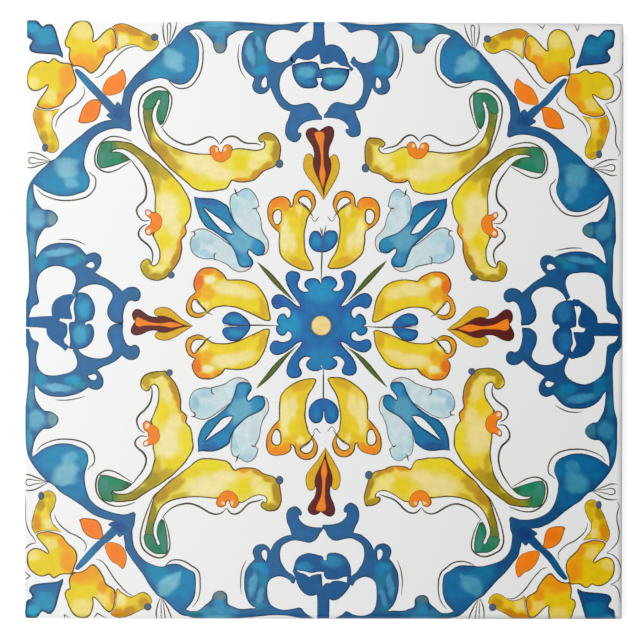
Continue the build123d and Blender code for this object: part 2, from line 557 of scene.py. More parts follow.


# Fired colour: soft washes in one another, brush marks, painted shade towards the right, and a dark
# contour at the border
def paintMaterial(look):
    material, tree = newMaterial(look["finish"])
    where = addNode(tree, "ShaderNodeUVMap", {"uv_map": "drawing"})
    place = addNode(tree, "ShaderNodeTexCoord")
    inMm = addNode(tree, "ShaderNodeVectorMath", {"operation": "SCALE"}, {"Scale": tileWidth},
                   {0: where.outputs[0]})
    wobble = addNode(tree, "ShaderNodeTexNoise",
                     inputs={"Scale": scaleFor(brushWork["edgePatch"]), "Detail": 2.0},
                     links={"Vector": place.outputs["Object"]})
    centred = addNode(tree, "ShaderNodeVectorMath", {"operation": "SUBTRACT"},
                      {1: (0.5, 0.5, 0.5)}, {0: wobble.outputs["Color"]})
    wander = brushWork["edgeWander"]
    shifted = addNode(tree, "ShaderNodeVectorMath", {"operation": "MULTIPLY_ADD"},
                      {1: (wander, wander, 0.0)}, {0: centred.outputs[0], 2: inMm.outputs[0]})
    colour = addNode(tree, "ShaderNodeRGB")
    colour.outputs[0].default_value = fired(look["base"])
    colourSocket = colour.outputs[0]
    for u, v, along, across, turn, hexColour, strength in look["washes"]:
        spot = addNode(tree, "ShaderNodeMapping", {"vector_type": "TEXTURE"},
                       {"Location": (u, v, 0), "Rotation": (0, 0, math.radians(turn)),
                        "Scale": (along, across, 1)}, {0: shifted.outputs[0]})
        reach = addNode(tree, "ShaderNodeVectorMath", {"operation": "LENGTH"},
                        links={0: spot.outputs[0]})
        soft = addNode(tree, "ShaderNodeMapRange", {"interpolation_type": "SMOOTHSTEP"},
                       {"From Min": brushWork["washEnd"], "From Max": brushWork["washFull"],
                        "To Max": strength},
                       {"Value": reach.outputs["Value"]})
        wash = addNode(tree, "ShaderNodeMix", {"data_type": "RGBA"}, {7: fired(hexColour, u)},
                       {0: soft.outputs[0], 6: colourSocket})
        colourSocket = wash.outputs[2]
    marks = addNode(tree, "ShaderNodeTexNoise",
                    inputs={"Scale": scaleFor(brushWork["streak"]), "Detail": 4.0},
                    links={"Vector": place.outputs["Object"]})
    load = addNode(tree, "ShaderNodeMapRange",
                   inputs={"From Min": brushWork["streakThin"],
                           "From Max": brushWork["streakThick"],
                           "To Min": 1.0 - look["load"], "To Max": 1.0 + look["load"]},
                   links={"Value": marks.outputs[0]})
    # painted shade: towards the right the colour is multiplied by the piece's shade tint, standing
    # in for the weaker light there
    rightward = addNode(tree, "ShaderNodeVectorMath", {"operation": "DOT_PRODUCT"},
                        {1: brushWork["shadeToward"]}, {0: place.outputs["Object"]})
    paintedShade = addNode(tree, "ShaderNodeMapRange", {"interpolation_type": "SMOOTHSTEP"},
                      {"From Min": brushWork["shadeFrom"] * mm,
                       "From Max": brushWork["shadeTo"] * mm},
                      {"Value": rightward.outputs["Value"]})
    tint = addNode(tree, "ShaderNodeMix", {"data_type": "RGBA"},
                   {6: (1, 1, 1, 1), 7: (*look["paintedShadeTint"], 1)}, {0: paintedShade.outputs[0]})
    brushed = addNode(tree, "ShaderNodeVectorMath", {"operation": "SCALE"},
                      links={0: colourSocket, "Scale": load.outputs[0]})
    brushedAndShaded = addNode(tree, "ShaderNodeVectorMath", {"operation": "MULTIPLY"},
                     links={0: brushed.outputs[0], 1: tint.outputs[2]})
    # the drawn contour runs just inside the border and swells a little
    rim = addNode(tree, "ShaderNodeAttribute", {"attribute_name": "rim"})
    swell = addNode(tree, "ShaderNodeMath", {"operation": "MULTIPLY_ADD"},
                    {1: brushWork["swell"], 2: -brushWork["swell"] / 2},
                    {0: wobble.outputs[0]})
    edge = addNode(tree, "ShaderNodeMath", {"operation": "ADD"},
                   links={0: rim.outputs["Fac"], 1: swell.outputs[0]})
    starts, full, strength = look["contour"]
    line = addNode(tree, "ShaderNodeMapRange", {"interpolation_type": "SMOOTHSTEP"},
                   {"From Min": starts, "From Max": full, "To Max": strength},
                   {"Value": edge.outputs[0]})
    inked = addNode(tree, "ShaderNodeMix", {"data_type": "RGBA"}, {7: fired(look["ink"])},
                    {0: line.outputs[0], 6: brushedAndShaded.outputs[0]})
    smooth, rough = brushWork["roughness"]
    gloss = addNode(tree, "ShaderNodeMapRange", inputs={"To Min": smooth, "To Max": rough},
                    links={"Value": marks.outputs[0]})
    bump = addNode(tree, "ShaderNodeBump",
                   inputs={"Strength": brushWork["reliefStrength"],
                           "Distance": brushWork["relief"] * mm},
                   links={"Height": marks.outputs[0]})
    shader = addNode(tree, "ShaderNodeBsdfPrincipled", inputs={"IOR": brushWork["ior"]},
                     links={"Base Color": inked.outputs[2], "Roughness": gloss.outputs[0],
                            "Normal": bump.outputs[0]})
    addNode(tree, "ShaderNodeOutputMaterial", links={0: shader.outputs[0]})
    return material


# Shapes are drawn in one quarter and copied to the others, whole shapes are drawn in place.
# Each shape is its outline and then its holes.
def paintPiece(name, look, shapes=(), wholeShapes=()):
    look = {**plainPaint, **look}
    paintShapes(name, paintMaterial(look), look, shapes, wholeShapes)


def circle(u, v, radius, stretch=1.0):
    turns = [math.radians(45 * i) for i in range(8)]
    return [(u + radius * math.cos(a), v + radius * stretch * math.sin(a), False) for a in turns]


# A quarter's half outline joined with its mirror images into one closed loop
def aroundCentre(text):
    half = readPoints(text)
    loop = []
    for quarter, reverse in (("topLeft", False), ("bottomLeft", True),
                             ("bottomRight", False), ("topRight", True)):
        points = half[1:] if reverse else half[:-1]
        moved = [(*toQuarter(u, v, quarter), corner) for u, v, corner in points]
        loop += reversed(moved) if reverse else moved
    return loop


# A shape drawn on the top axis, stretched and turned onto another side
def onSide(text, side):
    fromU, fromV, toU, toV, along, across, turned = side
    placed = []
    for u, v, corner in readPoints(text):
        alongBy = (v - fromV) * along
        acrossBy = (u - fromU) * across
        if turned:
            placed.append((toU + alongBy, toV + acrossBy, corner))
        else:
            placed.append((toU + acrossBy, toV + alongBy, corner))
    return placed


# The scrolled frame of each quarter, with its two eyes open, the leaf in the tile's corner
# and the stem between them
frameLoop = (
    "27.0,27.9 26.9,27.0 26.8,25.2 26.5,23.8 26.7,22.2 27.0,20.6 27.4,19.2 28.2,17.9 29.2,16.9 "
    "30.4,16.1 32.0,15.5 33.4,15.1 34.6,15.0 35.8,15.3 36.8,15.9 38.0,16.4 39.3,16.6 40.6,16.3 "
    "41.8,15.4 42.8,14.1 43.5,12.7 43.9,11.0 44.0,9.5 44.0,8.0 43.8,6.3 43.2,4.8 42.3,3.7 "
    "41.5,3.0* 42.3,2.6 43.3,2.5 44.2,2.6 45.0,3.1 45.9,4.0 46.8,5.0 47.4,6.0 47.6,7.0 48.0,7.9 "
    "48.7,8.5 49.5,8.6 50.3,8.3 51.0,7.3 51.2,6.0 51.2,5.0 51.6,4.2 52.5,3.6 53.5,3.0 55.0,2.7 "
    "56.5,2.75 58.0,2.8* 56.8,3.4 55.9,4.4 55.2,5.8 54.8,7.3 54.7,9.0 54.9,10.8 55.3,12.1 "
    "56.1,13.2 57.0,14.1 58.0,14.8* 57.8,15.4 57.5,16.4 57.6,17.4 58.2,18.3 59.2,18.8 60.3,18.8 "
    "61.3,18.3 61.9,17.5 62.1,17.1* 62.4,18.0 63.0,19.3 63.8,20.8 64.8,22.1 66.0,22.9 67.2,23.2* "
    "66.9,24.3 66.5,25.5 66.1,26.4 65.9,27.5 65.9,28.8 66.4,30.0 67.4,30.8 68.5,31.1 69.4,30.6 "
    "70.0,29.8 70.1,28.9 69.7,28.5 69.3,28.6* 69.3,27.9 69.8,27.0 70.7,26.2 71.9,25.7 73.4,25.4 "
    "75.4,25.3* 75.3,24.4* 74.6,23.6 74.0,22.4 73.0,21.4 71.8,20.9 70.5,21.1 69.0,21.4 67.8,21.4 "
    "66.6,20.7 65.6,19.7 64.9,18.5 64.6,17.0 64.6,15.5 64.9,14.2 65.6,13.0 66.5,12.0 67.3,11.6* "
    "68.3,10.6* 67.5,9.1 66.6,10.0 65.5,10.5 64.3,10.7 63.0,10.4 61.9,9.8 61.2,8.8 61.0,7.5 "
    "61.1,6.0 61.5,4.6 62.3,3.5 63.4,2.9 64.8,2.5 66.0,2.5 67.5,2.8 68.6,3.2* 69.3,3.0* 70.0,1.9 "
    "71.3,0.9 72.3,0.15* 70.0,0.1 68.5,0.4 66.5,0.85 64.5,1.0 62.0,1.0 59.5,0.75 57.0,0.5 "
    "55.0,0.35 53.0,0.2 50.0,0.1 47.0,0.05 44.5,0.2 43.2,0.6 42.0,1.2 40.7,1.6 39.7,2.3 38.7,3.4 "
    "37.5,5.0 36.4,6.3 35.0,7.2 33.6,8.6 32.0,10.1 30.3,11.7 28.5,13.3 27.0,15.0 25.8,16.7 "
    "25.0,17.8 24.7,19.5 24.4,21.0 24.3,21.8* 21.8,25.5* 20.0,25.8 18.5,26.4 17.0,27.2 15.5,28.3 "
    "14.0,29.6 12.5,30.8 11.0,32.1 9.5,33.4 8.5,34.6 7.4,35.6 6.5,36.0 5.5,36.9 4.3,38.0 3.0,39.3 "
    "1.8,40.8 1.0,42.2 0.5,43.7 0.2,45.5 0.05,47.0 0.0,50.0 0.0,54.0 0.4,55.5 0.7,57.5 0.9,60.0 "
    "1.0,63.0 1.1,66.0 1.0,68.5 0.8,70.0 0.3,71.3 0.0,72.2 0.0,75.9* 1.1,75.7* 2.3,73.0 3.2,72.6 "
    "3.7,71.9 3.5,70.8 3.2,69.3 3.1,67.5 3.4,65.9 4.1,64.6 5.3,63.6 6.7,63.0 8.2,62.8 9.8,63.1 "
    "11.3,63.7 12.3,64.6 12.8,65.7 12.8,67.0 12.4,68.4 11.9,69.6* 13.0,70.6* 13.8,69.0* 14.7,68.3 "
    "15.8,67.8 17.2,67.5 18.6,67.5 20.0,67.9 21.2,68.6 22.1,69.7 22.2,70.4 21.8,71.5 21.2,72.7 "
    "20.9,73.9 21.0,75.2 21.6,76.3 22.9,77.2* 25.0,77.4* 25.1,76.5 25.0,75.5 25.2,74.2 25.6,72.9 "
    "26.3,71.8 27.2,71.4* 27.5,71.6 28.4,71.7 29.2,71.1 29.5,70.0 29.2,68.9 28.3,68.1 27.0,67.9 "
    "25.7,68.3 24.8,69.0* 23.6,67.9 22.2,66.8 20.6,65.8 19.0,65.0 17.9,64.3* 18.5,63.7 19.2,62.6 "
    "19.5,61.3 19.2,60.1 18.4,59.4 17.3,59.2 16.3,59.5 15.7,59.8* 15.1,59.2 14.2,58.2 13.0,57.4 "
    "11.4,56.9 9.6,56.8 7.8,56.9 6.3,57.3 5.0,58.0 4.1,58.8 3.5,59.7 2.9,60.5* 2.95,58.8 3.1,57.3 "
    "3.4,56.0 4.0,54.8 4.6,53.8 5.2,53.2 6.3,53.0 7.4,52.4 8.2,51.5 8.4,50.5 8.0,49.6 7.2,48.9 "
    "6.0,48.4 4.7,48.4* 4.0,47.8 3.2,46.8 2.6,45.5 2.3,44.3 2.15,43.0 2.2,42.0* 3.6,43.0 5.0,43.9 "
    "6.6,44.5 8.4,45.0 10.2,45.1 12.0,44.9 13.6,44.4 15.0,43.9 16.0,42.9 16.4,41.6 16.4,40.5 "
    "16.0,39.4 15.5,38.4 15.1,37.2 15.1,35.8 15.3,34.4 15.7,33.0 16.3,31.6 17.1,30.5 18.2,29.5 "
    "19.6,28.7 21.2,28.1 23.0,27.8 24.5,27.9 25.7,28.3 26.5,28.5")
upperEye = "60.0,15.7 60.4,14.9 60.9,14.4* 61.1,15.0 61.2,16.0 61.1,16.8 60.6,17.1 60.1,16.9"
lowerEye = "15.5,62.8* 15.9,62.2 16.6,61.8 17.2,61.8 17.6,62.3 17.5,62.9 17.0,63.2 16.3,63.0"
cornerLeaf = (
    "0.0,0.6 0.6,0.15 1.5,0.1 2.4,0.15 3.1,0.6 3.7,1.3 4.3,1.85* 5.0,1.5 5.8,1.2 6.5,1.3 7.1,1.8 "
    "7.6,2.7 8.0,3.9 8.35,5.2 8.7,6.5 9.1,7.8 9.5,9.0 9.5,9.85* 9.3,9.85* 8.8,9.6 8.0,9.25 "
    "6.8,9.1 5.2,9.0 3.6,8.9 2.2,8.7 1.2,8.2 0.85,7.4 0.9,6.8 1.3,6.2 1.6,5.6* 1.3,5.2 0.5,4.8 "
    "0.1,4.3 0.0,3.5")
stem = (
    "12.3,12.9* 13.0,12.6 14.0,13.2 15.3,14.3 16.8,15.8 18.2,17.2 19.5,18.5 21.0,20.0 22.7,21.8* "
    "22.9,21.4 23.3,20.9* 23.8,21.2 24.3,21.8* 25.5,24.5* 21.8,25.5* 20.9,24.9 20.5,24.5* "
    "20.7,24.1 21.3,23.8* 20.9,23.3 19.9,22.2 18.6,20.6 17.2,19.1 15.8,17.6 14.4,16.0 13.3,14.6 "
    "12.5,13.4")
scrollWashes = [
    (40.5, 10.0, 5.0, 5.6, 0, "#2A88B4", 1), (38.5, 4.6, 2.6, 2.0, 0, "#3A7CB0", 0.6),
    (34.8, 12.8, 4.6, 2.8, -40, "#3192B5", 0.95), (37.5, 10.3, 2.8, 2.5, 30, "#7EBAD0", 1),
    (36.5, 8.6, 1.6, 1.6, 0, "#6FB4C4", 0.9), (39.0, 12.0, 1.5, 1.0, 40, "#72B4CE", 0.9),
    (48, 2.2, 6.0, 1.8, 0, "#4F93B4", 0.9), (49, 0.9, 3.6, 0.9, 0, "#66B0CC", 0.9),
    (49.3, 4.5, 1.4, 2.4, 0, "#4A9ABF", 0.8), (49.2, 7.2, 1.8, 1.4, 0, "#7A8E8C", 0.9),
    (43.5, 1.8, 2.2, 0.7, -20, "#3F7F86", 0.8),
    (57.2, 8.5, 3.4, 1.1, 80, "#62A8C8", 0.9), (59.2, 5.8, 2.6, 0.8, 75, "#62A8C8", 0.8),
    (60, 10, 1.6, 2.4, 0, "#2E8FA8", 0.8), (60.5, 12.5, 1.6, 1.4, 0, "#2A90C4", 0.9),
    (58.5, 13.0, 1.6, 1.0, 0, "#2F9CC0", 0.7), (58.5, 3.4, 2.4, 0.9, 0, "#2F8CA8", 0.8),
    (62.5, 13, 1.4, 1.8, 0, "#3C6EA4", 0.6), (68, 27, 1.2, 2.4, 0, "#3B6EAA", 0.8),
    (70.5, 23.5, 2.4, 1.0, 0, "#3A70AC", 0.7),
    (1.2, 46.5, 0.8, 3.0, 0, "#5B9DB5", 0.9), (3.0, 51, 2.2, 2.6, 0, "#72AFC6", 0.95),
    (7.0, 51, 1.5, 2.0, 0, "#7EA3AA", 0.95), (1.6, 57, 1.2, 3.4, 0, "#5F9BB5", 0.8),
    (1.6, 62.5, 1.0, 2.6, 0, "#5A86A6", 0.8), (2, 70, 1.4, 2.4, 0, "#4C7CA8", 0.7),
    (8.6, 59.4, 4.2, 1.1, -8, "#74B4D0", 0.95), (12, 61.5, 2.0, 1.4, 0, "#3AA0C4", 0.9),
    (14, 60.3, 1.6, 1.0, 30, "#36A6A8", 0.6), (4.2, 62.0, 1.6, 2.6, 20, "#3F9CB8", 0.8),
    (15, 64.5, 1.6, 1.0, 0, "#3F73AC", 0.5), (23.5, 73, 1.4, 3.0, 0, "#4478B0", 0.8),
    (5, 40.5, 2.6, 1.8, -40, "#4079B0", 0.8), (9.6, 41.2, 6.4, 3.8, 0, "#3390B8", 1),
    (12.4, 34.8, 4.2, 3.4, -40, "#3A88B2", 0.95), (15, 41.3, 1.6, 2.6, 0, "#3A96BA", 0.9),
    (10.6, 38.2, 3.0, 2.5, 25, "#84BACC", 1), (11.6, 41.6, 2.0, 1.5, 20, "#74B4CE", 0.9),
    (10.6, 36.3, 3.0, 1.2, 0, "#7CB6C6", 0.8),
    (2.0, 2.2, 1.8, 1.6, 0, "#4BA6C6", 0.9), (5.0, 4.5, 2.8, 2.6, 0, "#3F9ABB", 0.9),
    (6.0, 7.6, 3.0, 1.2, 0, "#4079A8", 0.8),
    (15.5, 15.8, 2.6, 1.0, 45, "#3F84AE", 0.9), (23.5, 24.0, 1.8, 1.8, 0, "#3F5E94", 0.8),
]

blueRim = (0.15, 0.8, 0.9)          # a soft dark rim, where cobalt gathered at the border
cobaltPaintedShade = (0.2, 0.55, 0.68)      # painted shade on cobalt towards the right: red drops most

# Cobalt under a clear glaze: a strong blue with pale pools where the brush ran wet
scrollwork = {
    "finish": "cobalt_blue_glaze",
    "base": "#44719C",
    "washes": scrollWashes,
    "ink": "#33485A",
    "contour": blueRim,
    "paintedShadeTint": cobaltPaintedShade,
    "edge": 0.9,            # mm, how wide the brush's edge is
    "lift": 0.022,          # mm, how high the film stands on the white glaze
}
paintPiece("blue_scrollwork", scrollwork,
           [[frameLoop, upperEye, lowerEye], [cornerLeaf], [stem]])

# The crest in the middle of each side, drawn in place on all four: lobes, then oval bulbs
topLobes = (
    "73.0,0.0* 73.0,1.5 72.9,3.5 72.6,5.0* 71.5,5.2 70.3,5.9 69.2,6.9 68.3,8.0 67.3,9.1 67.0,10.4* "
    "68.3,11.0* 68.7,10.2* 69.2,9.7 70.3,10.0 71.8,10.1 73.0,9.7 73.9,9.0 74.5,8.6* 74.8,10.0 "
    "74.9,11.0* 76.5,11.1 77.6,10.8 78.3,10.4* 79.0,10.7 79.9,11.4 81.2,11.7 82.0,11.9* 82.6,13.0* "
    "83.4,12.3* 82.2,11.0 81.7,9.6 81.0,8.1 80.2,7.0 79.1,6.3 77.9,6.0 76.9,6.1 76.2,6.4* 76.0,5.0 "
    "75.9,3.0 75.8,1.2 76.0,0.0*")
topOvals = (
    "67.5,11.3* 69.5,10.7 71.5,10.4 73.2,10.4 74.2,10.8 74.6,11.7 74.8,12.4* 76.5,11.9 78.5,11.9 "
    "80.5,12.0 82.4,12.3* 82.2,13.8 81.6,15.4 80.7,16.7 79.5,17.6 78.0,18.0 76.4,17.8 75.3,17.1 "
    "74.8,16.0 75.2,15.2 75.1,14.7* 74.0,14.7* 74.2,15.4 74.4,16.2 74.0,16.9 72.9,17.3 71.5,17.4 "
    "70.0,17.1 68.8,16.0 68.0,14.6 67.6,13.0")
leftLobes = (
    "0.0,75.8* 2.0,75.7 4.5,75.5 6.9,75.4* 6.8,74.2 6.9,73.0 7.4,71.8 8.3,70.9 9.5,70.2 10.8,69.9 "
    "12.0,69.8* 13.0,70.6* 12.5,71.1* 12.0,72.1 11.6,73.1 11.7,74.2 12.0,75.3 12.1,76.3* 10.6,76.2 "
    "9.1,76.1* 8.8,76.6* 9.8,77.0 10.6,77.4 10.9,78.3 10.9,79.5 10.6,80.6 10.0,81.4 10.2,82.2* "
    "11.4,83.2* 10.4,84.4* 9.1,83.2 8.0,82.5 6.9,81.7 6.0,80.6 5.6,79.6 5.5,78.6* 3.5,78.4 1.5,78.3 "
    "0.0,78.2*")
leftOvals = (
    "13.6,69.4* 14.8,69.4 16.0,69.8 16.9,70.8 17.6,72.2 17.9,73.8 17.7,75.3 17.2,76.5* 16.2,76.8 "
    "15.5,77.0* 15.4,77.8* 16.3,77.3 17.1,77.7 17.6,78.7 17.7,80.0 17.4,81.4 16.6,82.6 15.4,83.5 "
    "13.8,83.9 12.3,83.9 11.2,83.7* 11.5,82.5 11.5,81.0 11.3,79.5 11.2,78.0 11.4,77.1 12.6,76.8* "
    "12.7,75.8 12.5,74.5 12.4,73.0 12.6,71.6 13.0,70.4")
rightLobes = (
    "152.4,76.7* 150.5,76.8 148.0,76.6 145.8,76.7* 145.7,75.3 145.1,74.1 144.1,73.0 143.1,72.2 "
    "142.0,71.5 140.9,70.7* 139.4,70.6* 139.6,72.3* 140.3,72.6* 141.0,72.5 141.5,73.1* 141.3,74.2 "
    "140.9,75.3 140.7,76.6 141.2,77.7 142.6,78.1* 142.2,79.0* 140.8,79.0 139.5,79.0* 139.8,80.6 "
    "140.2,82.2 139.7,83.3 139.2,84.2* 138.0,85.4* 139.2,86.0* 141.0,85.6 142.6,85.1 143.9,84.0 "
    "144.8,82.6 145.1,81.2 144.9,80.1* 147.5,80.1 150.0,80.1 152.4,80.2*")
rightOvals = (
    "140.2,71.0* 138.5,70.9 137.0,71.1 135.6,71.8 134.6,73.0 134.1,74.4 134.1,75.8 134.5,76.9 "
    "135.2,77.3 135.7,77.1* 136.0,77.9* 135.0,78.7 134.4,79.8 134.2,81.2 134.6,82.8 135.6,84.1 "
    "136.9,85.0 138.4,85.6* 139.3,84.2* 139.0,83.4 139.5,82.0 139.4,80.5 139.2,79.0 138.9,78.1* "
    "140.3,77.7* 140.4,76.3 140.3,74.5 139.9,72.5")
bottomLobes = (
    "74.5,152.4* 74.5,150.0 74.5,147.5 74.4,146.1* 73.0,146.4 71.6,146.0 70.4,145.0 69.5,143.5 "
    "68.9,141.7 68.2,140.0* 68.6,139.2* 70.0,140.3 71.5,140.8 72.4,141.5* 73.2,141.1 74.4,140.8 "
    "75.6,140.7* 75.8,142.2 75.9,143.9* 76.5,143.2 77.1,143.0 77.6,143.1* 78.4,142.6 79.6,142.4 "
    "81.0,142.6 82.0,142.9* 82.1,141.4* 83.6,141.2* 84.2,142.3* 83.2,143.2 82.6,144.4 81.7,145.6 "
    "80.6,146.7 79.2,147.5 78.3,147.5 77.7,147.3* 77.7,150.0 77.6,152.4*")
bottomOvals = (
    "68.4,139.6* 68.9,137.6 69.7,136.4 71.0,135.7 72.3,135.4 73.5,135.6 74.8,135.9 75.9,136.3 "
    "76.2,137.2* 76.9,137.2* 76.8,136.4 77.2,135.6 78.5,135.3 80.0,135.5 81.4,136.2 82.4,137.4 "
    "83.0,138.8 83.2,140.2 83.2,141.6* 82.0,141.5 81.2,141.6 80.0,142.1 78.5,142.3 77.0,142.1 "
    "76.3,141.4 76.1,140.3* 74.5,140.3 73.0,140.6 71.5,140.2 70.0,140.0")
crestWashes = [
    (71.0, 13.2, 2.6, 1.6, 0, "#58A6C2", 1), (70.6, 15.2, 2.2, 1.0, 30, "#2C88B4", 0.8),
    (78.4, 15.0, 3.0, 1.6, 0, "#4FA2C0", 1), (78.4, 13.2, 2.6, 0.8, 0, "#2A86A6", 0.8),
    (15.0, 73.6, 1.8, 2.8, 10, "#4A9EC2", 1), (13.9, 71.0, 0.8, 1.4, 0, "#3A88BC", 0.8),
    (14.2, 80.2, 2.0, 2.6, 0, "#56A2C2", 1), (16.2, 79.4, 0.7, 1.6, 0, "#2F8EA4", 0.8),
    (137.0, 74.0, 2.0, 2.8, 0, "#2C86B4", 0.9), (137.4, 81.6, 2.0, 2.8, 0, "#2680B2", 0.9),
    (71.0, 139.2, 2.4, 1.6, 0, "#3A8CB8", 0.9), (78.4, 137.6, 3.0, 1.6, 0, "#3C92BA", 0.9),
]

# Cobalt laid on thicker: nearly indigo, with teal pools in the bulbs
crests = {
    "finish": "indigo_blue_glaze",
    "base": "#3A6B9C",
    "washes": crestWashes,
    "ink": "#30445A",
    "contour": blueRim,
    "paintedShadeTint": cobaltPaintedShade,
    "edge": 0.8,
    "lift": 0.022,
}
paintPiece("blue_crests", crests, wholeShapes=[
    [topLobes], [topOvals], [leftLobes], [leftOvals],
    [rightLobes], [rightOvals], [bottomLobes], [bottomOvals]])

paleShapes = [
    ["51.9,47.6 51.8,46.3 52.0,45.0 52.5,44.2 53.3,43.9* 54.3,43.5* 55.3,42.8 56.5,42.7 57.6,43.3 "
     "58.6,44.5 59.2,45.9 59.6,47.4* 58.9,48.1 59.3,48.9* 59.8,50.0 60.1,51.5 60.3,53.0 60.9,54.4 "
     "61.7,55.6 62.0,57.0 61.8,58.5 61.2,59.5 60.2,60.0* 58.6,59.0* 56.0,56.4 54.0,53.6 52.6,50.6"],
    ["46.8,53.5 45.8,53.1 44.6,53.0 43.6,53.2 42.8,53.8 42.9,54.6* 42.2,55.2 41.8,56.4 41.9,58.0 "
     "42.4,59.2 43.3,60.1 44.6,60.7 46.2,61.0 47.6,60.9 48.3,61.1* 49.7,61.6 51.3,62.4 52.6,63.5 "
     "53.9,64.1 55.2,64.2 56.5,63.8 57.4,63.1 57.9,62.2* 56.6,61.4* 54.4,59.0 52.0,57.0 49.5,55.2"],
]
paleWashes = [
    (56.0, 44.2, 2.6, 1.4, 20, "#A9CCDA", 0.9), (53.0, 47.5, 0.9, 2.6, 0, "#A9D2DA", 0.8),
    (57.2, 47.0, 1.6, 2.6, -20, "#C4D9DC", 0.8), (56.0, 52.0, 1.6, 3.0, -20, "#CFDBE2", 0.8),
    (59.4, 56.0, 1.4, 2.4, -30, "#D3DEDA", 0.8), (61.5, 58.0, 0.7, 1.6, 10, "#EBD3BC", 0.8),
    (43.2, 57.3, 1.4, 2.2, 0, "#9DC4D6", 0.9), (46.0, 59.6, 2.4, 1.0, 10, "#A9CBDD", 0.8),
    (46.0, 55.6, 2.6, 1.6, 20, "#B5D3DC", 0.8), (50.0, 59.0, 2.4, 1.8, 30, "#CBDCDC", 0.8),
    (56.0, 63.4, 1.6, 0.6, -20, "#E6D0C0", 0.8),
]

# A thin cobalt wash: the white glaze shines through as a pale grey blue
petals = {
    "finish": "washed_blue_glaze",
    "base": "#CBDFE3",
    "washes": paleWashes,
    "ink": "#565044",
    "contour": (0.2, 0.6, 0.9),
    "edge": 0.5,
    "lift": 0.014,
}
paintPiece("pale_petals", petals, paleShapes)

lilyBlades = (
    "42.8,44.9* 44.0,45.2 46.0,45.3 47.5,45.4 49.0,45.8 50.3,46.5 51.6,47.5 52.0,48.6 52.6,50.1 "
    "53.6,51.5 55.0,53.0 56.6,54.4 58.4,55.3 59.9,56.1 60.8,57.2 61.0,58.5 60.5,59.6 59.3,60.0 "
    "58.2,59.6 57.3,58.8 56.8,58.5* 56.7,59.2 57.3,60.2 57.9,61.2 57.9,62.2 57.2,62.8 56.0,63.0 "
    "54.8,62.8 54.1,62.0 53.8,60.9 53.3,59.5 52.5,57.8 51.6,56.7 50.3,55.6 49.0,54.6 47.5,53.6 "
    "46.1,52.9 45.1,51.7 44.3,50.4 43.8,49.0 43.3,47.5 43.0,46.2")
lilySlit = (
    "45.2,47.7* 46.8,48.9 48.5,50.1 50.1,51.2 51.5,52.5 52.8,54.3* 51.6,54.1 50.2,53.5 48.8,52.2 "
    "47.5,50.7 46.3,49.1")
lilyWashes = [
    (46.5, 46.3, 3.0, 1.0, 10, "#42669E", 0.8), (49.8, 49.0, 2.6, 1.6, 35, "#2C88B4", 0.9),
    (46.0, 50.3, 2.6, 1.2, 60, "#2F8BB0", 0.9), (48.5, 53.2, 2.6, 1.0, 40, "#2F86B0", 0.8),
    (55.0, 56.0, 4.2, 3.0, 45, "#70B0C8", 0.95), (58.8, 57.6, 1.8, 1.6, 20, "#3A92B8", 0.8),
    (55.6, 61.0, 1.4, 1.6, 0, "#4C9CC4", 0.8),
]

# Cobalt with a little copper: a clear blue that leans to teal in the middle of the blades
lily = {
    "finish": "teal_blue_glaze",
    "base": "#2E86B4",
    "washes": lilyWashes,
    "ink": "#34506A",
    "contour": blueRim,
    "paintedShadeTint": cobaltPaintedShade,
    "edge": 0.7,
    "lift": 0.024,
    "foot": 0.012,
}
paintPiece("lily_blades", lily, [[lilyBlades, lilySlit]])

# Antimony yellow: warm and thick at the rims, almost cream where the brush was wrung out
antimonyYellow = {
    "ink": "#5C4E30",
    "load": 0.05,
    "paintedShadeTint": (0.97, 0.88, 0.62),       # painted shade on yellow towards the right: blue drops most, turning it ochre
    "edge": 0.62,
    "lift": 0.018,
}

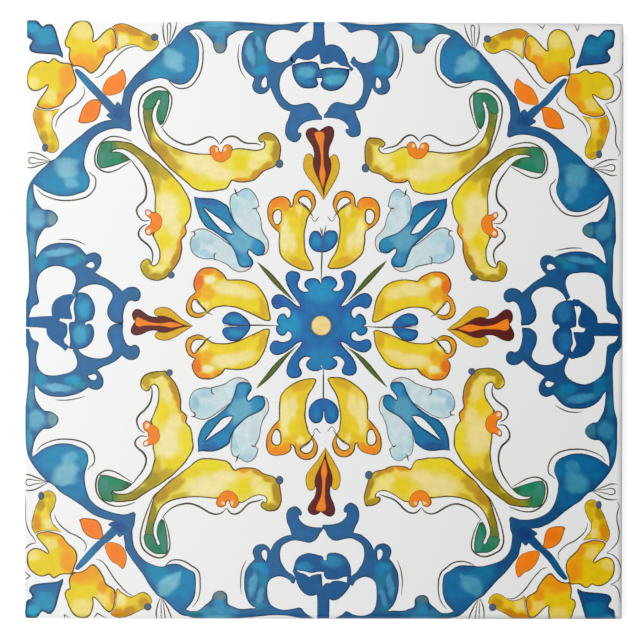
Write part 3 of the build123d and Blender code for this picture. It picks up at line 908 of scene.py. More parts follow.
flowerShapes = [
    ["9.85,5.5 9.8,6.2 10.0,6.9 10.5,7.3 11.0,7.5* 11.0,7.9 10.85,8.8 10.85,9.8 11.1,10.8 "
     "11.6,11.6 12.1,12.2* 13.0,12.1 14.2,12.4 15.2,13.0 16.0,13.7 16.6,14.0* 17.3,13.7 18.2,12.9 "
     "19.2,11.6 20.0,10.2 20.3,9.4 21.0,8.8 22.1,8.2 22.8,7.5 23.1,6.4 23.1,5.0 22.9,3.7 22.4,2.6 "
     "21.6,2.0* 20.6,2.5 19.5,3.4 18.5,4.5 17.7,5.2 17.2,5.5* 17.3,4.6 17.3,3.4 17.0,2.2 16.5,1.2 "
     "15.7,0.5 14.6,0.15 13.4,0.3 12.3,0.9 11.4,1.9 10.8,3.0 10.4,4.2 10.0,5.1"],
    ["21.8,1.9* 22.8,1.3 24.0,0.95 25.2,1.1 27.0,1.7 29.0,2.6 31.0,3.6 32.2,4.2 33.3,4.9 33.8,5.8 "
     "33.5,6.8 32.8,7.6 31.5,8.15 30.2,7.9 29.0,7.2 28.0,6.7 27.0,6.6 25.7,6.8 24.4,7.3 23.3,8.1* "
     "22.9,7.4 23.1,6.4 23.15,5.0 22.9,3.7 22.4,2.6"],
    ["12.0,12.0* 11.6,11.4 10.9,11.1 9.8,11.0 8.8,10.8 8.0,10.3 7.2,9.9 6.6,10.1 6.1,10.7* "
     "5.8,10.9 5.0,10.6 4.0,10.5 3.0,10.8 1.8,11.6 0.8,12.8 0.3,14.1 0.2,15.5 0.4,16.8 1.0,17.8 "
     "2.0,18.4 3.0,18.4 4.2,17.9 5.1,17.3 5.6,16.9* 5.2,17.8 4.5,18.9 3.8,19.9 3.1,21.0 2.7,22.0* "
     "3.3,22.6 4.6,23.0 6.0,23.1 7.4,22.7 8.7,22.2 9.5,21.5 10.0,20.5 10.9,19.4 12.0,18.3 "
     "12.8,17.0 13.0,15.8 12.9,14.8 12.5,13.7 12.2,12.8"],
    ["2.6,22.2* 2.1,23.3 1.9,24.4 2.0,25.6 2.5,27.2 3.1,28.8 3.6,30.2 4.2,31.3 4.6,32.2 5.1,33.2 "
     "5.9,33.9 6.9,34.1 7.7,33.8 8.4,33.0 8.6,31.8 8.3,30.4 7.7,29.0 7.0,27.8 6.9,26.6 7.0,25.6 "
     "7.5,24.6 8.2,23.7 9.0,22.6* 7.4,23.0 6.0,23.2 4.6,23.1 3.3,22.7"],
]
flowerWashes = [
    (14.5, 3, 3.0, 2.4, 0, "#F0E08A", 0.9), (19.5, 5.2, 2.0, 2.0, 0, "#F2DC84", 0.9),
    (14, 7, 3.2, 2.0, 0, "#EBD031", 0.9), (13.6, 11, 2.6, 1.6, 20, "#F0A03A", 0.95),
    (16.5, 12, 2.6, 1.6, -30, "#F0A03A", 0.95), (19.5, 8.5, 1.6, 2.0, 20, "#F0A03A", 0.9),
    (22.3, 6, 0.9, 2.4, 0, "#EE9A30", 0.9), (15.5, 9.6, 1.8, 1.0, 0, "#F6BC4A", 0.8),
    (24.6, 5.4, 1.8, 1.6, 0, "#F2E6A0", 0.9), (24, 2.2, 2.2, 1.2, 20, "#D98E30", 0.95),
    (27.4, 3, 3.0, 1.2, 25, "#C9902A", 0.95), (28.6, 5.5, 1.6, 1.0, 10, "#F2CC4A", 0.9),
    (31.4, 5.6, 1.8, 1.6, 20, "#C4981F", 0.9), (31.5, 7.4, 1.8, 0.8, 0, "#D9BC30", 0.7),
    (4, 13.5, 3.0, 2.4, 0, "#E6CE3C", 0.8), (2, 16.3, 1.8, 1.6, 0, "#F0E08A", 0.9),
    (6.3, 19.5, 1.8, 1.8, 0, "#F0DE8A", 0.9), (10.6, 14.6, 2.2, 3.2, 0, "#F0A23C", 0.95),
    (9.4, 20, 1.6, 2.0, 30, "#F0A23C", 0.9), (6, 22.4, 3.0, 0.9, 0, "#E8A22E", 0.9),
    (3.4, 25.5, 1.3, 3.0, -10, "#DC9A36", 0.95), (6.0, 25, 1.0, 2.0, 0, "#F3E3A0", 0.9),
    (5.9, 27.6, 0.9, 1.6, 0, "#F5D55C", 0.9), (4.8, 30.2, 1.2, 1.8, -20, "#B99A2E", 0.9),
    (7.3, 29.8, 1.0, 2.4, 0, "#D9BC30", 0.8), (6.4, 32.8, 1.6, 1.0, 0, "#C9A035", 0.8),
    # orange runs up from the petals' feet
    (15.0, 10.6, 4.2, 2.0, 10, "#F0A640", 0.6), (10.4, 16.5, 2.0, 4.2, 10, "#F0A640", 0.6),
]
flowers = {
    **antimonyYellow,
    "finish": "antimony_yellow_corner_flowers",
    "base": "#E8CE3A",
    "washes": flowerWashes,
}
paintPiece("corner_flowers", flowers, flowerShapes)

upperLeaf = [
    ["29.8,22.8 29.8,24.5 30.1,27.0 30.7,29.0 31.3,31.0 32.1,32.8 33.2,34.2 34.3,35.4 35.3,36.6 "
     "36.6,38.0 38.0,39.1 39.5,40.4 41.0,41.6 42.3,42.8 43.8,43.5 45.5,43.8 47.5,43.8 49.3,43.5 "
     "50.7,43.2 51.6,42.5 52.2,41.4 52.6,40.9* 53.6,41.3 55.0,41.4 57.0,41.2 58.2,40.8 59.3,39.9 "
     "60.1,39.0 61.0,38.4 62.2,37.9 63.1,37.5 64.0,36.6 64.6,35.6 64.9,34.0 65.0,32.5 64.7,31.2 "
     "64.1,30.0 63.2,29.0 62.2,28.5 61.0,28.4 60.0,28.8 59.2,29.5 59.0,30.3 59.3,30.9 59.8,31.3* "
     "60.4,31.0* 60.6,31.6 60.4,32.3 59.8,32.7 58.5,32.9 56.5,32.7 54.5,32.5 52.7,32.8 51.5,33.6 "
     "49.5,34.5 47.5,34.2 46.9,34.0 45.0,33.95 43.0,33.8 41.0,33.4 39.0,32.8 37.5,32.2 36.0,31.4 "
     "34.7,30.4 33.7,29.2 33.0,27.8 32.6,26.5 32.3,25.0 32.4,23.6 32.8,22.4 33.3,21.2 32.0,20.6 "
     "30.6,21.2"],
]
upperLeafWashes = [
    (31.2, 27.5, 1.6, 6.0, 0, "#9E9036", 1), (31.4, 21.4, 2.2, 2.4, 0, "#508A70", 1),
    (31.0, 24.2, 1.6, 2.0, 0, "#6C864A", 0.8), (34.0, 33.5, 2.2, 3.4, -40, "#B8912F", 0.95),
    (37.6, 36.8, 1.6, 3.4, -40, "#C4A02C", 0.9), (38.8, 33.6, 2.6, 0.9, 25, "#C6AC30", 0.8),
    (41.4, 40.2, 3.4, 1.4, 30, "#ECD22C", 0.95), (46.5, 42.0, 4.0, 1.3, 0, "#E9DA36", 0.95),
    (45.0, 36.8, 5.4, 2.6, 20, "#F1E4A6", 1), (49.6, 39.4, 3.2, 1.6, 0, "#F3E4A2", 1),
    (50.6, 41.9, 1.2, 1.4, 20, "#EBD850", 0.8), (54.6, 36.0, 2.4, 2.6, 0, "#EBD52E", 1),
    (56.0, 33.6, 2.4, 0.9, 0, "#E3D75C", 0.9), (59.6, 34.2, 2.4, 2.0, 0, "#F2E692", 1),
    (58.0, 36.8, 1.6, 1.4, 30, "#F4E096", 0.9), (55.2, 39.4, 1.8, 0.9, 0, "#F7D47A", 0.8),
    (55.0, 40.8, 3.0, 0.75, 0, "#E09A2C", 0.95), (58.8, 39.2, 2.4, 0.9, -40, "#CC9428", 0.95),
    (61.6, 37.0, 2.0, 0.9, -30, "#C2962C", 0.95), (63.7, 33.4, 1.3, 3.2, 0, "#B5902C", 1),
    (62.0, 29.6, 2.4, 1.2, 15, "#B0932A", 1), (60.2, 29.8, 1.0, 1.2, 0, "#B8982E", 0.9),
    (61.2, 31.9, 0.8, 1.0, 0, "#F0E27E", 0.8),
]
upperLeafPaint = {
    **antimonyYellow,
    "finish": "antimony_yellow_upper_leaves",
    "base": "#EBDC60",
    "washes": upperLeafWashes,
}
paintPiece("upper_leaves", upperLeafPaint, upperLeaf)

lowerLeaf = [
    ["21.6,31.0 22.8,30.8 25.0,31.0 27.0,31.4 28.6,32.4 30.3,33.5 32.0,34.7 33.7,35.9 35.2,37.3 "
     "36.8,38.7 38.3,40.4 39.7,42.0 40.7,43.6 41.6,45.2 42.2,47.0 42.3,49.0 42.1,50.2 41.7,51.2 "
     "40.8,52.4* 41.0,53.2 41.1,54.1 40.6,55.1 39.9,55.9 39.9,57.0 40.0,58.2 39.8,59.5 39.4,61.0 "
     "38.8,62.2 38.0,63.3 37.4,64.0 36.6,65.0 35.8,65.8 34.6,66.3 33.3,66.5 31.9,66.2 30.6,65.5 "
     "29.7,64.4 29.2,63.0 29.4,61.8 30.2,61.0 31.2,60.7 31.9,61.2 32.2,62.1* 32.6,62.5* 33.4,62.0 "
     "33.9,61.0 34.0,59.5 33.8,58.2 33.2,56.8 32.6,55.6 32.1,54.8* 32.6,54.0 32.9,52.0 33.0,50.0 "
     "32.8,48.6 32.8,46.5 32.8,44.5 32.5,43.0 32.1,41.5 31.6,39.8 31.0,38.6 30.1,37.3 29.2,36.2 "
     "28.2,35.2 27.1,34.3 26.0,33.6 25.0,33.2 23.8,33.1 22.6,33.3 21.6,33.8 20.6,33.0"],
]
lowerLeafWashes = [
    (21.2, 32.4, 2.2, 2.2, 0, "#4C8A6C", 1), (23.8, 31.9, 2.0, 1.6, 0, "#74884A", 0.8),
    (27.6, 32.9, 4.4, 1.4, 30, "#9E9036", 1), (32.0, 37.2, 3.8, 2.0, 50, "#AC9A32", 1),
    (35.6, 39.6, 3.4, 1.4, 45, "#BFA42C", 0.9), (33.4, 42.0, 1.2, 2.6, 0, "#CFAE2E", 0.9),
    (37.6, 42.6, 2.6, 2.4, 50, "#ECD42C", 1), (36.4, 48.4, 2.6, 4.6, 0, "#F2E6A8", 1),
    (40.6, 47.6, 1.3, 3.6, -8, "#EBDC40", 0.95), (34.6, 46.2, 1.6, 1.6, 0, "#F3E6A8", 0.8),
    (38.0, 53.2, 1.8, 2.2, 0, "#F2E4A0", 0.9), (35.4, 56.2, 1.7, 2.2, 20, "#F0D628", 1),
    (40.2, 53.8, 0.9, 1.8, 0, "#EAA83A", 0.95), (39.4, 57.4, 0.9, 2.8, 5, "#DE9A34", 0.95),
    (38.2, 61.0, 1.1, 2.8, 20, "#C2942E", 1), (36.4, 64.2, 2.0, 1.2, -35, "#B8962E", 1),
    (33.0, 65.3, 2.8, 1.1, 0, "#B59C2E", 1), (30.6, 63.6, 1.3, 1.8, 0, "#BEA434", 1),
    (36.2, 60.0, 1.2, 2.2, 15, "#F4DE92", 0.95), (34.2, 63.2, 1.8, 0.8, -20, "#F3E490", 0.9),
    (31.2, 61.8, 0.9, 0.8, 0, "#C4A432", 0.8),
]
lowerLeafPaint = {
    **antimonyYellow,
    "finish": "antimony_yellow_lower_leaves",
    "base": "#EBDC60",
    "washes": lowerLeafWashes,
}
paintPiece("lower_leaves", lowerLeafPaint, lowerLeaf)

tulipShapes = [
    ["64.4,54.1* 63.3,53.2 62.3,52.0 61.6,50.6 61.4,49.0 61.5,47.5 62.1,46.1 63.2,45.1 64.6,44.7 "
     "66.0,44.8 67.0,45.5 67.5,46.5 67.4,47.4* 67.8,46.5 68.0,45.2 68.6,44.0 69.7,43.2 71.0,43.0 "
     "72.3,43.3 73.3,44.2 73.8,45.4 73.9,46.6 73.5,47.8 72.9,48.8 72.4,49.5* 71.9,50.4 71.5,52.0 "
     "71.1,54.0 71.1,56.0 71.2,57.8 71.8,59.8 72.5,61.0 73.1,62.3 73.4,63.3 72.8,63.8 71.5,63.8 "
     "70.0,63.5 68.3,62.8 66.8,61.9 65.4,60.7 64.7,59.7 64.4,58.0 64.3,56.5 64.4,55.2",
     "63.4,51.3 63.1,50.3 63.2,49.3 63.7,48.6 64.4,48.4 64.9,48.8* 64.9,50.0 64.8,51.0* 64.3,51.7 "
     "63.8,51.8",
     "69.6,45.9 70.1,45.2 71.0,45.0 71.9,45.5 72.4,46.4 72.6,47.4 72.3,48.2* 71.4,47.4 70.5,46.8"],
    ["51.4,65.9* 50.6,64.6 49.4,63.6 48.0,62.9 46.5,62.8 45.0,63.1 43.9,64.0 43.1,65.3 42.7,66.8 "
     "42.8,68.2 43.3,69.2* 43.0,69.4* 41.9,70.3 41.1,71.7 40.8,73.0 41.0,74.3 41.8,75.3 43.0,75.8 "
     "44.4,75.9 45.5,75.4 46.2,74.7 46.9,74.3* 48.0,73.5 50.0,73.0 52.0,73.0 54.0,73.4 56.0,74.2 "
     "58.0,75.1 60.0,76.1 61.5,76.6 62.4,76.4 62.5,75.4 62.2,74.0 62.0,72.8 61.6,71.2 60.9,69.8 "
     "59.9,68.3 58.7,67.1 57.0,66.3 55.0,65.9 53.0,65.9",
     "43.2,71.3 42.6,72.0 42.6,73.2 43.0,74.0 43.8,74.4 45.0,74.3 46.0,74.1* 45.3,73.4 44.4,72.6"],
]
tulipWashes = [
    (64.4, 46.3, 2.8, 1.6, -15, "#EF8A2C", 1), (62.3, 49.6, 1.1, 3.0, 0, "#EB962E", 1),
    (66.0, 47.3, 1.6, 1.3, 0, "#EE9A30", 0.9), (63.6, 52.6, 1.2, 1.2, 0, "#E09430", 1),
    (70.6, 44.1, 2.2, 1.1, 0, "#EB9632", 1), (73.1, 46.0, 1.0, 2.2, 0, "#E39A2A", 1),
    (69.0, 46.2, 1.0, 2.0, 10, "#E3A02C", 0.9), (72.6, 48.4, 0.8, 1.0, 20, "#B98A30", 0.8),
    (69.6, 48.4, 0.9, 1.6, 0, "#F3E28A", 0.85), (67.4, 49.4, 2.0, 1.2, 0, "#E8BE2C", 0.8),
    (70.7, 51.6, 1.1, 3.4, 0, "#E2C420", 0.9), (66.0, 54.6, 1.3, 4.6, 3, "#F1E69E", 1),
    (67.8, 56.4, 1.2, 3.2, 0, "#F0E29A", 0.9), (67.8, 52.0, 1.0, 2.6, -8, "#EBD22A", 0.9),
    (70.3, 57.0, 1.1, 3.8, 0, "#E8C81E", 0.9), (69.6, 61.9, 3.2, 1.3, 20, "#DBB01C", 1),
    (66.4, 60.0, 1.6, 0.8, 30, "#EFD05A", 0.8),
    # the lower tulip petal
    (44.0, 66.8, 1.5, 2.8, 0, "#EA7C2E", 1), (46.0, 63.8, 2.4, 1.1, -10, "#EE8E30", 1),
    (49.8, 64.6, 1.8, 1.3, 30, "#E5A02A", 1), (47.0, 66.1, 1.6, 1.2, 0, "#F1EBC0", 0.95),
    (41.9, 72.2, 1.2, 2.8, 0, "#EBA033", 1), (43.6, 70.2, 1.8, 0.9, -25, "#EC9C34", 1),
    (43.6, 75.1, 2.0, 0.8, 0, "#D8992E", 1), (46.4, 69.4, 1.8, 2.2, 0, "#EBB022", 0.9),
    (45.7, 72.4, 1.4, 1.0, 30, "#F5E68C", 0.85), (52.0, 68.4, 4.2, 1.8, 5, "#F0E29C", 1),
    (50.6, 71.4, 3.0, 1.3, 0, "#EDD540", 0.9), (56.6, 69.6, 2.6, 1.6, 20, "#F0E092", 0.9),
    (53.0, 72.7, 3.6, 0.8, 5, "#E8CE22", 0.9), (58.6, 72.6, 2.6, 1.4, 40, "#EBD628", 0.9),
    (60.6, 73.4, 1.1, 3.0, -15, "#DDAE22", 0.95), (59.0, 75.0, 1.8, 0.8, 25, "#E0B028", 0.7),
]
tulip = {
    **antimonyYellow,
    "finish": "antimony_yellow_tulips",
    "base": "#EBD042",
    "washes": tulipWashes,
}
paintPiece("tulips", tulip, tulipShapes)

# The orange buds beside the corner flowers and the hearts on the leaves
orangeShapes = [
    ["19.4,18.1* 19.6,17.3 20.0,16.3 20.8,15.1 21.9,14.3 23.0,13.9 23.9,13.1 24.6,12.6* 25.1,13.4 "
     "25.4,14.6 25.5,15.8 25.2,17.0 24.5,18.2 23.4,18.9 22.0,19.3 20.8,19.4 20.2,19.2*"],
    ["13.3,26.0* 13.6,25.2 14.0,23.8 14.6,22.4 15.6,21.2 16.8,20.5 18.0,20.3 18.9,20.7 19.4,21.3* "
     "19.1,22.4 18.9,23.6 18.4,24.9 17.5,25.9 16.3,26.3 14.9,26.5 13.8,26.4"],
]
heartShapes = [
    ["46.9,34.1 46.7,33.2 46.9,32.4 47.5,31.9 48.2,31.9 48.9,32.3 49.3,33.4* 49.7,33.7* 50.1,32.6 "
     "50.5,31.9 51.2,31.6 52.0,31.8 52.6,32.6 52.5,33.7 52.2,34.8 51.3,35.7 50.2,36.3 49.0,36.3 "
     "48.0,35.8 47.3,35.0"],
    ["30.6,49.6 30.4,48.9 30.7,48.3 31.5,48.4 32.4,48.9 33.4,48.9 34.3,49.5 34.9,50.6 34.9,51.9 "
     "34.4,53.2 33.5,54.0 32.5,54.4 31.6,54.9 30.7,54.6 30.4,53.7 30.8,52.7 31.6,52.2 31.8,51.5* "
     "31.9,50.7* 31.2,50.2"],
]
heartWashes = [
    (48.5, 32.9, 0.55, 0.55, 0, "#F6DCA0", 0.9), (50.6, 32.9, 0.55, 0.6, 0, "#F6DCA0", 0.9),
    (51.8, 32.6, 0.7, 0.9, 0, "#D9992E", 0.8), (33.0, 51.4, 1.3, 2.0, 0, "#F48A30", 0.9),
    (31.0, 49.2, 0.6, 0.6, 0, "#F3EFE2", 0.95), (31.4, 53.8, 0.6, 0.6, 0, "#F4E3C8", 0.9),
    (22.6, 16.6, 2.2, 1.6, -45, "#F7862E", 0.8), (16.6, 23.6, 1.8, 2.2, 40, "#F7822E", 0.8),
]

# Iron in the yellow: a bright orange with a thin rust line
orangeBuds = {
    "finish": "iron_orange_glaze",
    "base": "#F28C2C",
    "washes": heartWashes,
    "ink": "#B06A2C",
    "load": 0.05,
    "edge": 0.5,
    "lift": 0.026,
    "foot": 0.010,
}
paintPiece("orange_buds", orangeBuds, orangeShapes + heartShapes)

greenShapes = [
    ["33.4,21.0 34.0,20.4 33.6,22.0 33.2,23.4 33.2,24.8 33.5,26.0 34.1,26.9* 34.8,26.6 35.4,25.4 "
     "36.0,23.6 36.4,21.6 36.5,19.8 36.3,18.6 35.8,18.1* 34.4,18.0 33.0,18.1 31.6,18.9 30.6,19.8 "
     "30.0,21.0 29.8,22.6 31.0,23.0 32.4,22.6"],
    ["20.6,30.9 19.6,31.3 18.8,32.4 18.3,33.8 18.1,35.4 18.3,36.8 19.0,37.9* 20.4,37.8 22.0,37.4 "
     "23.6,36.9 25.2,36.3 26.8,35.7* 26.0,34.9 25.0,34.2 23.8,33.7 22.6,33.6 21.8,33.6 22.0,32.2 "
     "21.8,31.0"],
]
greenWashes = [
    (33.0, 19.6, 2.4, 1.2, -20, "#3F8468", 0.9), (35.4, 20.8, 1.0, 2.4, 10, "#4E9080", 0.9),
    (31.4, 21.2, 1.6, 1.6, 0, "#4E8A6C", 0.9), (34.0, 24.6, 0.8, 2.0, 0, "#3E8668", 0.9),
    (34.6, 26.2, 0.8, 0.8, 0, "#3F6E5A", 0.8), (22.6, 36.2, 3.2, 1.2, -12, "#3A8E6E", 0.95),
    (19.6, 35.4, 1.3, 2.0, 0, "#549080", 0.9), (20.0, 32.2, 1.2, 1.4, 30, "#4A8864", 0.9),
    (25.4, 35.3, 1.4, 0.9, 30, "#4E7054", 0.9),
]

# Copper green: a cool green that pools darker at the foot of each leaf
greenRoots = {
    "finish": "copper_green_glaze",
    "base": "#4C8C70",
    "washes": greenWashes,
    "ink": "#4A5038",
    "contour": (0.2, 0.55, 0.7),
    "load": 0.05,
    "edge": 0.5,
    "lift": 0.024,
    "foot": 0.014,
}
paintPiece("green_roots", greenRoots, greenShapes)

bladeShapes = [
    ["58.9,61.4* 60.4,62.5 62.0,63.8 63.6,65.4 65.2,67.3 66.7,69.2 68.0,70.8 69.3,72.1* 67.6,70.9 "
     "65.8,69.5 64.0,67.9 62.3,66.1 60.8,64.2 59.6,62.6"],
]

# Copper over yellow: a flat olive green
oliveBlades = {
    "finish": "olive_green_glaze",
    "base": "#617238",
    "ink": "#465030",
    "edge": 0.5,
    "lift": 0.018,
}
paintPiece("olive_blades", oliveBlades, bladeShapes)

# The spear over each tulip is drawn once, on the top axis
spearDark = (
    "74.6,28.1* 73.9,27.5 73.0,27.2 71.9,27.5 71.2,28.4 71.3,29.6 72.0,30.8 72.8,32.0 73.2,33.3 "
    "73.3,34.6 72.8,36.0 73.0,37.6 73.8,39.4 74.6,41.0 75.3,42.7 75.8,44.6* 76.2,42.8 76.8,41.0 "
    "77.5,39.2 77.9,37.4 77.8,36.0 77.2,34.8 77.1,33.4 77.4,32.0 78.0,30.6 78.4,29.2 78.4,28.0 "
    "77.9,27.1 76.9,26.8 75.7,27.3")
spearFlame = (
    "73.4,28.6 73.9,28.3 74.6,28.2* 75.3,28.2 75.9,28.6 76.1,29.5 75.9,30.8 75.8,32.5 75.8,34.5 "
    "75.9,36.5 76.2,38.0 76.4,39.2 76.2,40.5 75.9,42.0 75.6,42.6* 75.2,41.6 74.8,40.3 74.6,39.0 "
    "74.8,37.6 75.0,36.0 74.9,34.0 74.6,32.3 74.1,31.0 73.6,29.8")
sepals = [
    "75.8,45.8* 74.8,44.2 73.7,42.4 72.6,41.0 71.5,39.6 70.7,38.2 70.5,36.8 70.7,35.3 71.2,34.2 "
    "72.0,33.8 72.8,34.1 73.2,34.8* 73.3,36.2 73.5,37.8 74.2,39.6 75.0,41.2 75.6,42.8 75.9,44.0",
    "75.8,45.8* 76.9,44.0 78.0,42.2 79.0,40.4 79.8,38.3 79.9,36.4 79.5,35.0 78.7,34.0 77.9,34.2 "
    "77.3,34.9* 77.4,36.3 77.3,37.8 76.9,39.4 76.3,41.2 75.9,42.8 75.8,44.0",
]

# Its place on each side: from (u, v) to (u, v), the scale along and across, turned or not
spearSides = {
    "top": (75.2, 26.8, 75.2, 26.8, 1.0, 1.0, False),
    "left": (75.2, 26.8, 26.9, 77.3, 0.835, 0.92, True),
    "right": (75.2, 26.8, 124.5, 77.8, -0.91, 1.12, True),
    "bottom": (75.2, 26.8, 75.9, 126.2, -0.93, 0.96, False),
}

# Ochre: a dull gold
ochreSepals = {
    "finish": "ochre_glaze",
    "base": "#DDB024",
    "ink": "#7A6228",
    "edge": 0.4,
    "lift": 0.016,
}
paintPiece("ochre_sepals", ochreSepals, wholeShapes=[
    [onSide(text, side)] for text in sepals for side in spearSides.values()])

# Manganese brown: a warm dark brown that hardly shows its contour
brownSpears = {
    "finish": "manganese_brown_glaze",
    "base": "#6B3F26",
    "ink": "#4A2A1C",
    "contour": (0.2, 0.9, 0.8),
    "edge": 0.5,
    "lift": 0.020,
    "foot": 0.006,
}
paintPiece("brown_spears", brownSpears, wholeShapes=[
    [onSide(spearDark, side)] for side in spearSides.values()])

# Iron orange laid over the brown: bright in the middle, rusty at the border
orangeFlames = {
    "finish": "bright_orange_glaze",
    "base": "#F08A28",
    "ink": "#C0602A",
    "contour": (0.4, 0.9, 0.8),
    "edge": 0.4,
    "lift": 0.026,
    "foot": 0.016,
}
paintPiece("orange_flames", orangeFlames, wholeShapes=[
    [onSide(spearFlame, side)] for side in spearSides.values()])

rosetteQuarter = (
    "75.2,67.0* 74.9,66.3 74.2,65.7 73.3,65.5 72.2,65.6 71.3,66.2 70.9,67.0 71.1,67.9 71.7,68.5 "
    "72.1,68.8* 71.2,69.0 70.2,68.6 69.5,67.8 69.4,66.9 69.8,66.0 70.0,65.0 69.6,64.2 68.7,63.8 "
    "67.6,63.7 66.6,64.2 66.1,65.2 66.2,66.4 66.8,68.0 67.6,69.4 68.6,70.8 69.5,72.0 69.9,72.7* "
    "69.0,72.4 67.6,71.2 66.2,70.2 65.0,69.7 63.9,69.7 63.0,70.3 62.5,71.4 62.8,72.6 63.5,73.4 "
    "64.4,73.5 65.3,73.1 66.3,73.1 67.1,73.6 67.4,74.5 67.1,75.4 66.7,75.6* 66.3,74.9 65.7,74.5 "
    "64.8,74.8 64.2,75.5 63.9,76.5 64.1,77.2 64.6,77.4*")
buds = {
    "top": "75.4,55.0* 75.0,54.0 74.3,53.5 73.3,53.5 72.5,54.2 72.1,55.3 72.0,56.5 72.4,57.7 "
           "73.2,58.6 74.3,59.0 75.5,59.1 76.7,58.9 78.0,58.2 79.0,57.0 79.5,55.6 79.4,54.3 "
           "78.8,53.5 77.8,53.3 76.8,53.4 76.0,54.0",
    "left": "50.3,77.2 50.1,76.2 50.9,75.0 52.2,74.2 53.8,74.2 55.5,75.1 56.8,76.4 57.4,77.7 "
            "56.9,79.2 55.8,80.5 54.5,81.5 53.1,81.8 51.6,81.4 50.5,80.4 50.1,79.2 50.4,78.4 "
            "51.5,78.0 54.0,77.9* 51.2,77.5",
    "right": "93.3,77.9 93.8,76.6 95.0,75.3 96.6,74.5 98.3,74.4 99.6,75.2 100.1,76.4 99.8,77.4 "
             "98.5,77.7 96.0,78.0* 98.6,78.4 99.8,78.8 100.0,80.0 99.3,81.1 98.0,81.6 96.3,81.3 "
             "94.8,80.2 93.8,79.2",
    "bottom": "76.0,96.0 77.5,96.4 78.8,97.3 79.7,98.7 79.9,100.2 79.5,101.7 78.4,102.6 77.2,102.6 "
              "76.4,101.8 76.0,99.0* 75.6,101.8 74.6,102.5 73.3,102.4 72.4,101.4 72.1,100.0 "
              "72.4,98.3 73.4,97.0 74.7,96.2",
}
rosetteWashes = [
    (75.3, 77.5, 6.4, 6.4, 0, "#2A74B0", 1), (75.3, 69.0, 4.4, 3.0, 0, "#2694C0", 0.95),
    (67.0, 77.4, 3.4, 3.6, 0, "#2694C0", 0.95), (84.0, 77.6, 3.0, 3.6, 0, "#2484B8", 0.9),
    (75.5, 86.0, 4.4, 2.8, 0, "#2086B6", 0.9), (75.3, 77.7, 3.6, 3.6, 0, "#2C6288", 0.8),
    (70.2, 73.0, 1.3, 1.3, 0, "#3A5A9E", 0.6), (80.6, 73.0, 1.3, 1.3, 0, "#3A5A9E", 0.6),
    (70.4, 82.0, 1.3, 1.3, 0, "#3A5A9E", 0.6), (80.2, 82.0, 1.3, 1.3, 0, "#3A5A9E", 0.6),
    (64.2, 71.6, 1.4, 1.2, 0, "#3D4F97", 0.7), (68.0, 65.6, 1.2, 1.4, 0, "#2F6CAA", 0.7),
    # the four buds
    (73.9, 56.2, 1.2, 1.6, 0, "#1F90B2", 0.9), (77.6, 55.6, 1.2, 1.6, 0, "#1F8AB6", 0.9),
    (53.4, 76.0, 2.0, 0.9, 0, "#2490B6", 0.9), (53.6, 79.6, 2.0, 0.9, 0, "#2490B6", 0.9),
    (97.4, 76.2, 1.9, 0.8, 0, "#1F84B0", 0.9), (97.4, 79.8, 1.9, 0.8, 0, "#1F84B0", 0.9),
    (74.0, 99.8, 0.9, 1.6, 0, "#2080B4", 0.9), (78.0, 99.8, 0.9, 1.6, 0, "#1F84B0", 0.9),
]

# Thick cobalt: a deep clear blue, a little lighter where the lobes begin
rosette = {
    "finish": "deep_blue_glaze",
    "base": "#2A74B0",
    "washes": rosetteWashes,
    "ink": "#30465E",
    "contour": blueRim,
    "paintedShadeTint": cobaltPaintedShade,
    "edge": 0.7,
    "lift": 0.022,
}
paintPiece("rosette_and_bulbs", rosette, wholeShapes=[
    [aroundCentre(rosetteQuarter)]] + [[bud] for bud in buds.values()])

# A thin yellow wash: a warm cream disc with a rusty ring
disc = {
    "centre": (75.3, 77.65),
    "radius": 2.65,
    "finish": "cream_glaze",
    "base": "#F1D893",
    "ink": "#C98A4A",
    "edge": 0.5,
    "lift": 0.026,
    "foot": 0.016,
}
paintPiece("rosette_disc", disc, wholeShapes=[[circle(*disc["centre"], disc["radius"])]])

# Cobalt greyed with iron: dull slate blue dots
dots = {
    "places": [(32.7, 4.5, 0.95), (5.0, 32.7, 0.75, 1.4),   # u, v, radius and stretch
               (64.5, 36.5, 1.0, 1.1), (37.1, 64.9, 0.9)],
    "finish": "slate_blue_glaze",
    "base": "#5A6E84",
    "ink": "#4A5A6E",
    "contour": blueRim,
    "edge": 0.4,
    "lift": 0.027,
    "foot": 0.016,
}
paintPiece("slate_dots", dots, [[circle(*place)] for place in dots["places"]])

inkBrush = {
    "curveSteps": 5,
    "spread": 1.3,          # how much wider the ink runs than the line was drawn
    "tip": 0.35,            # width of a line's tips, as a share of its middle
    "belly": 0.6,           # the lower, the sooner a line is at full width
    "pressed": 0.12,        # mm of a line's height that is pressed flat
    "height": 0.006,        # mm from the white glaze to a line's middle
    "half": 0.022,          # mm from there to its top and its underside
    "margin": 0.05,         # mm inside the wall, where a line stops
    "wet": "#3A3022",
    "dry": "#6B5C3C",
    "dryPatch": 5.5556,     # mm
    "dryFrom": 0.4,
    "dryTo": 0.65,
    "ior": 1.5,
    "roughness": 0.2,
}
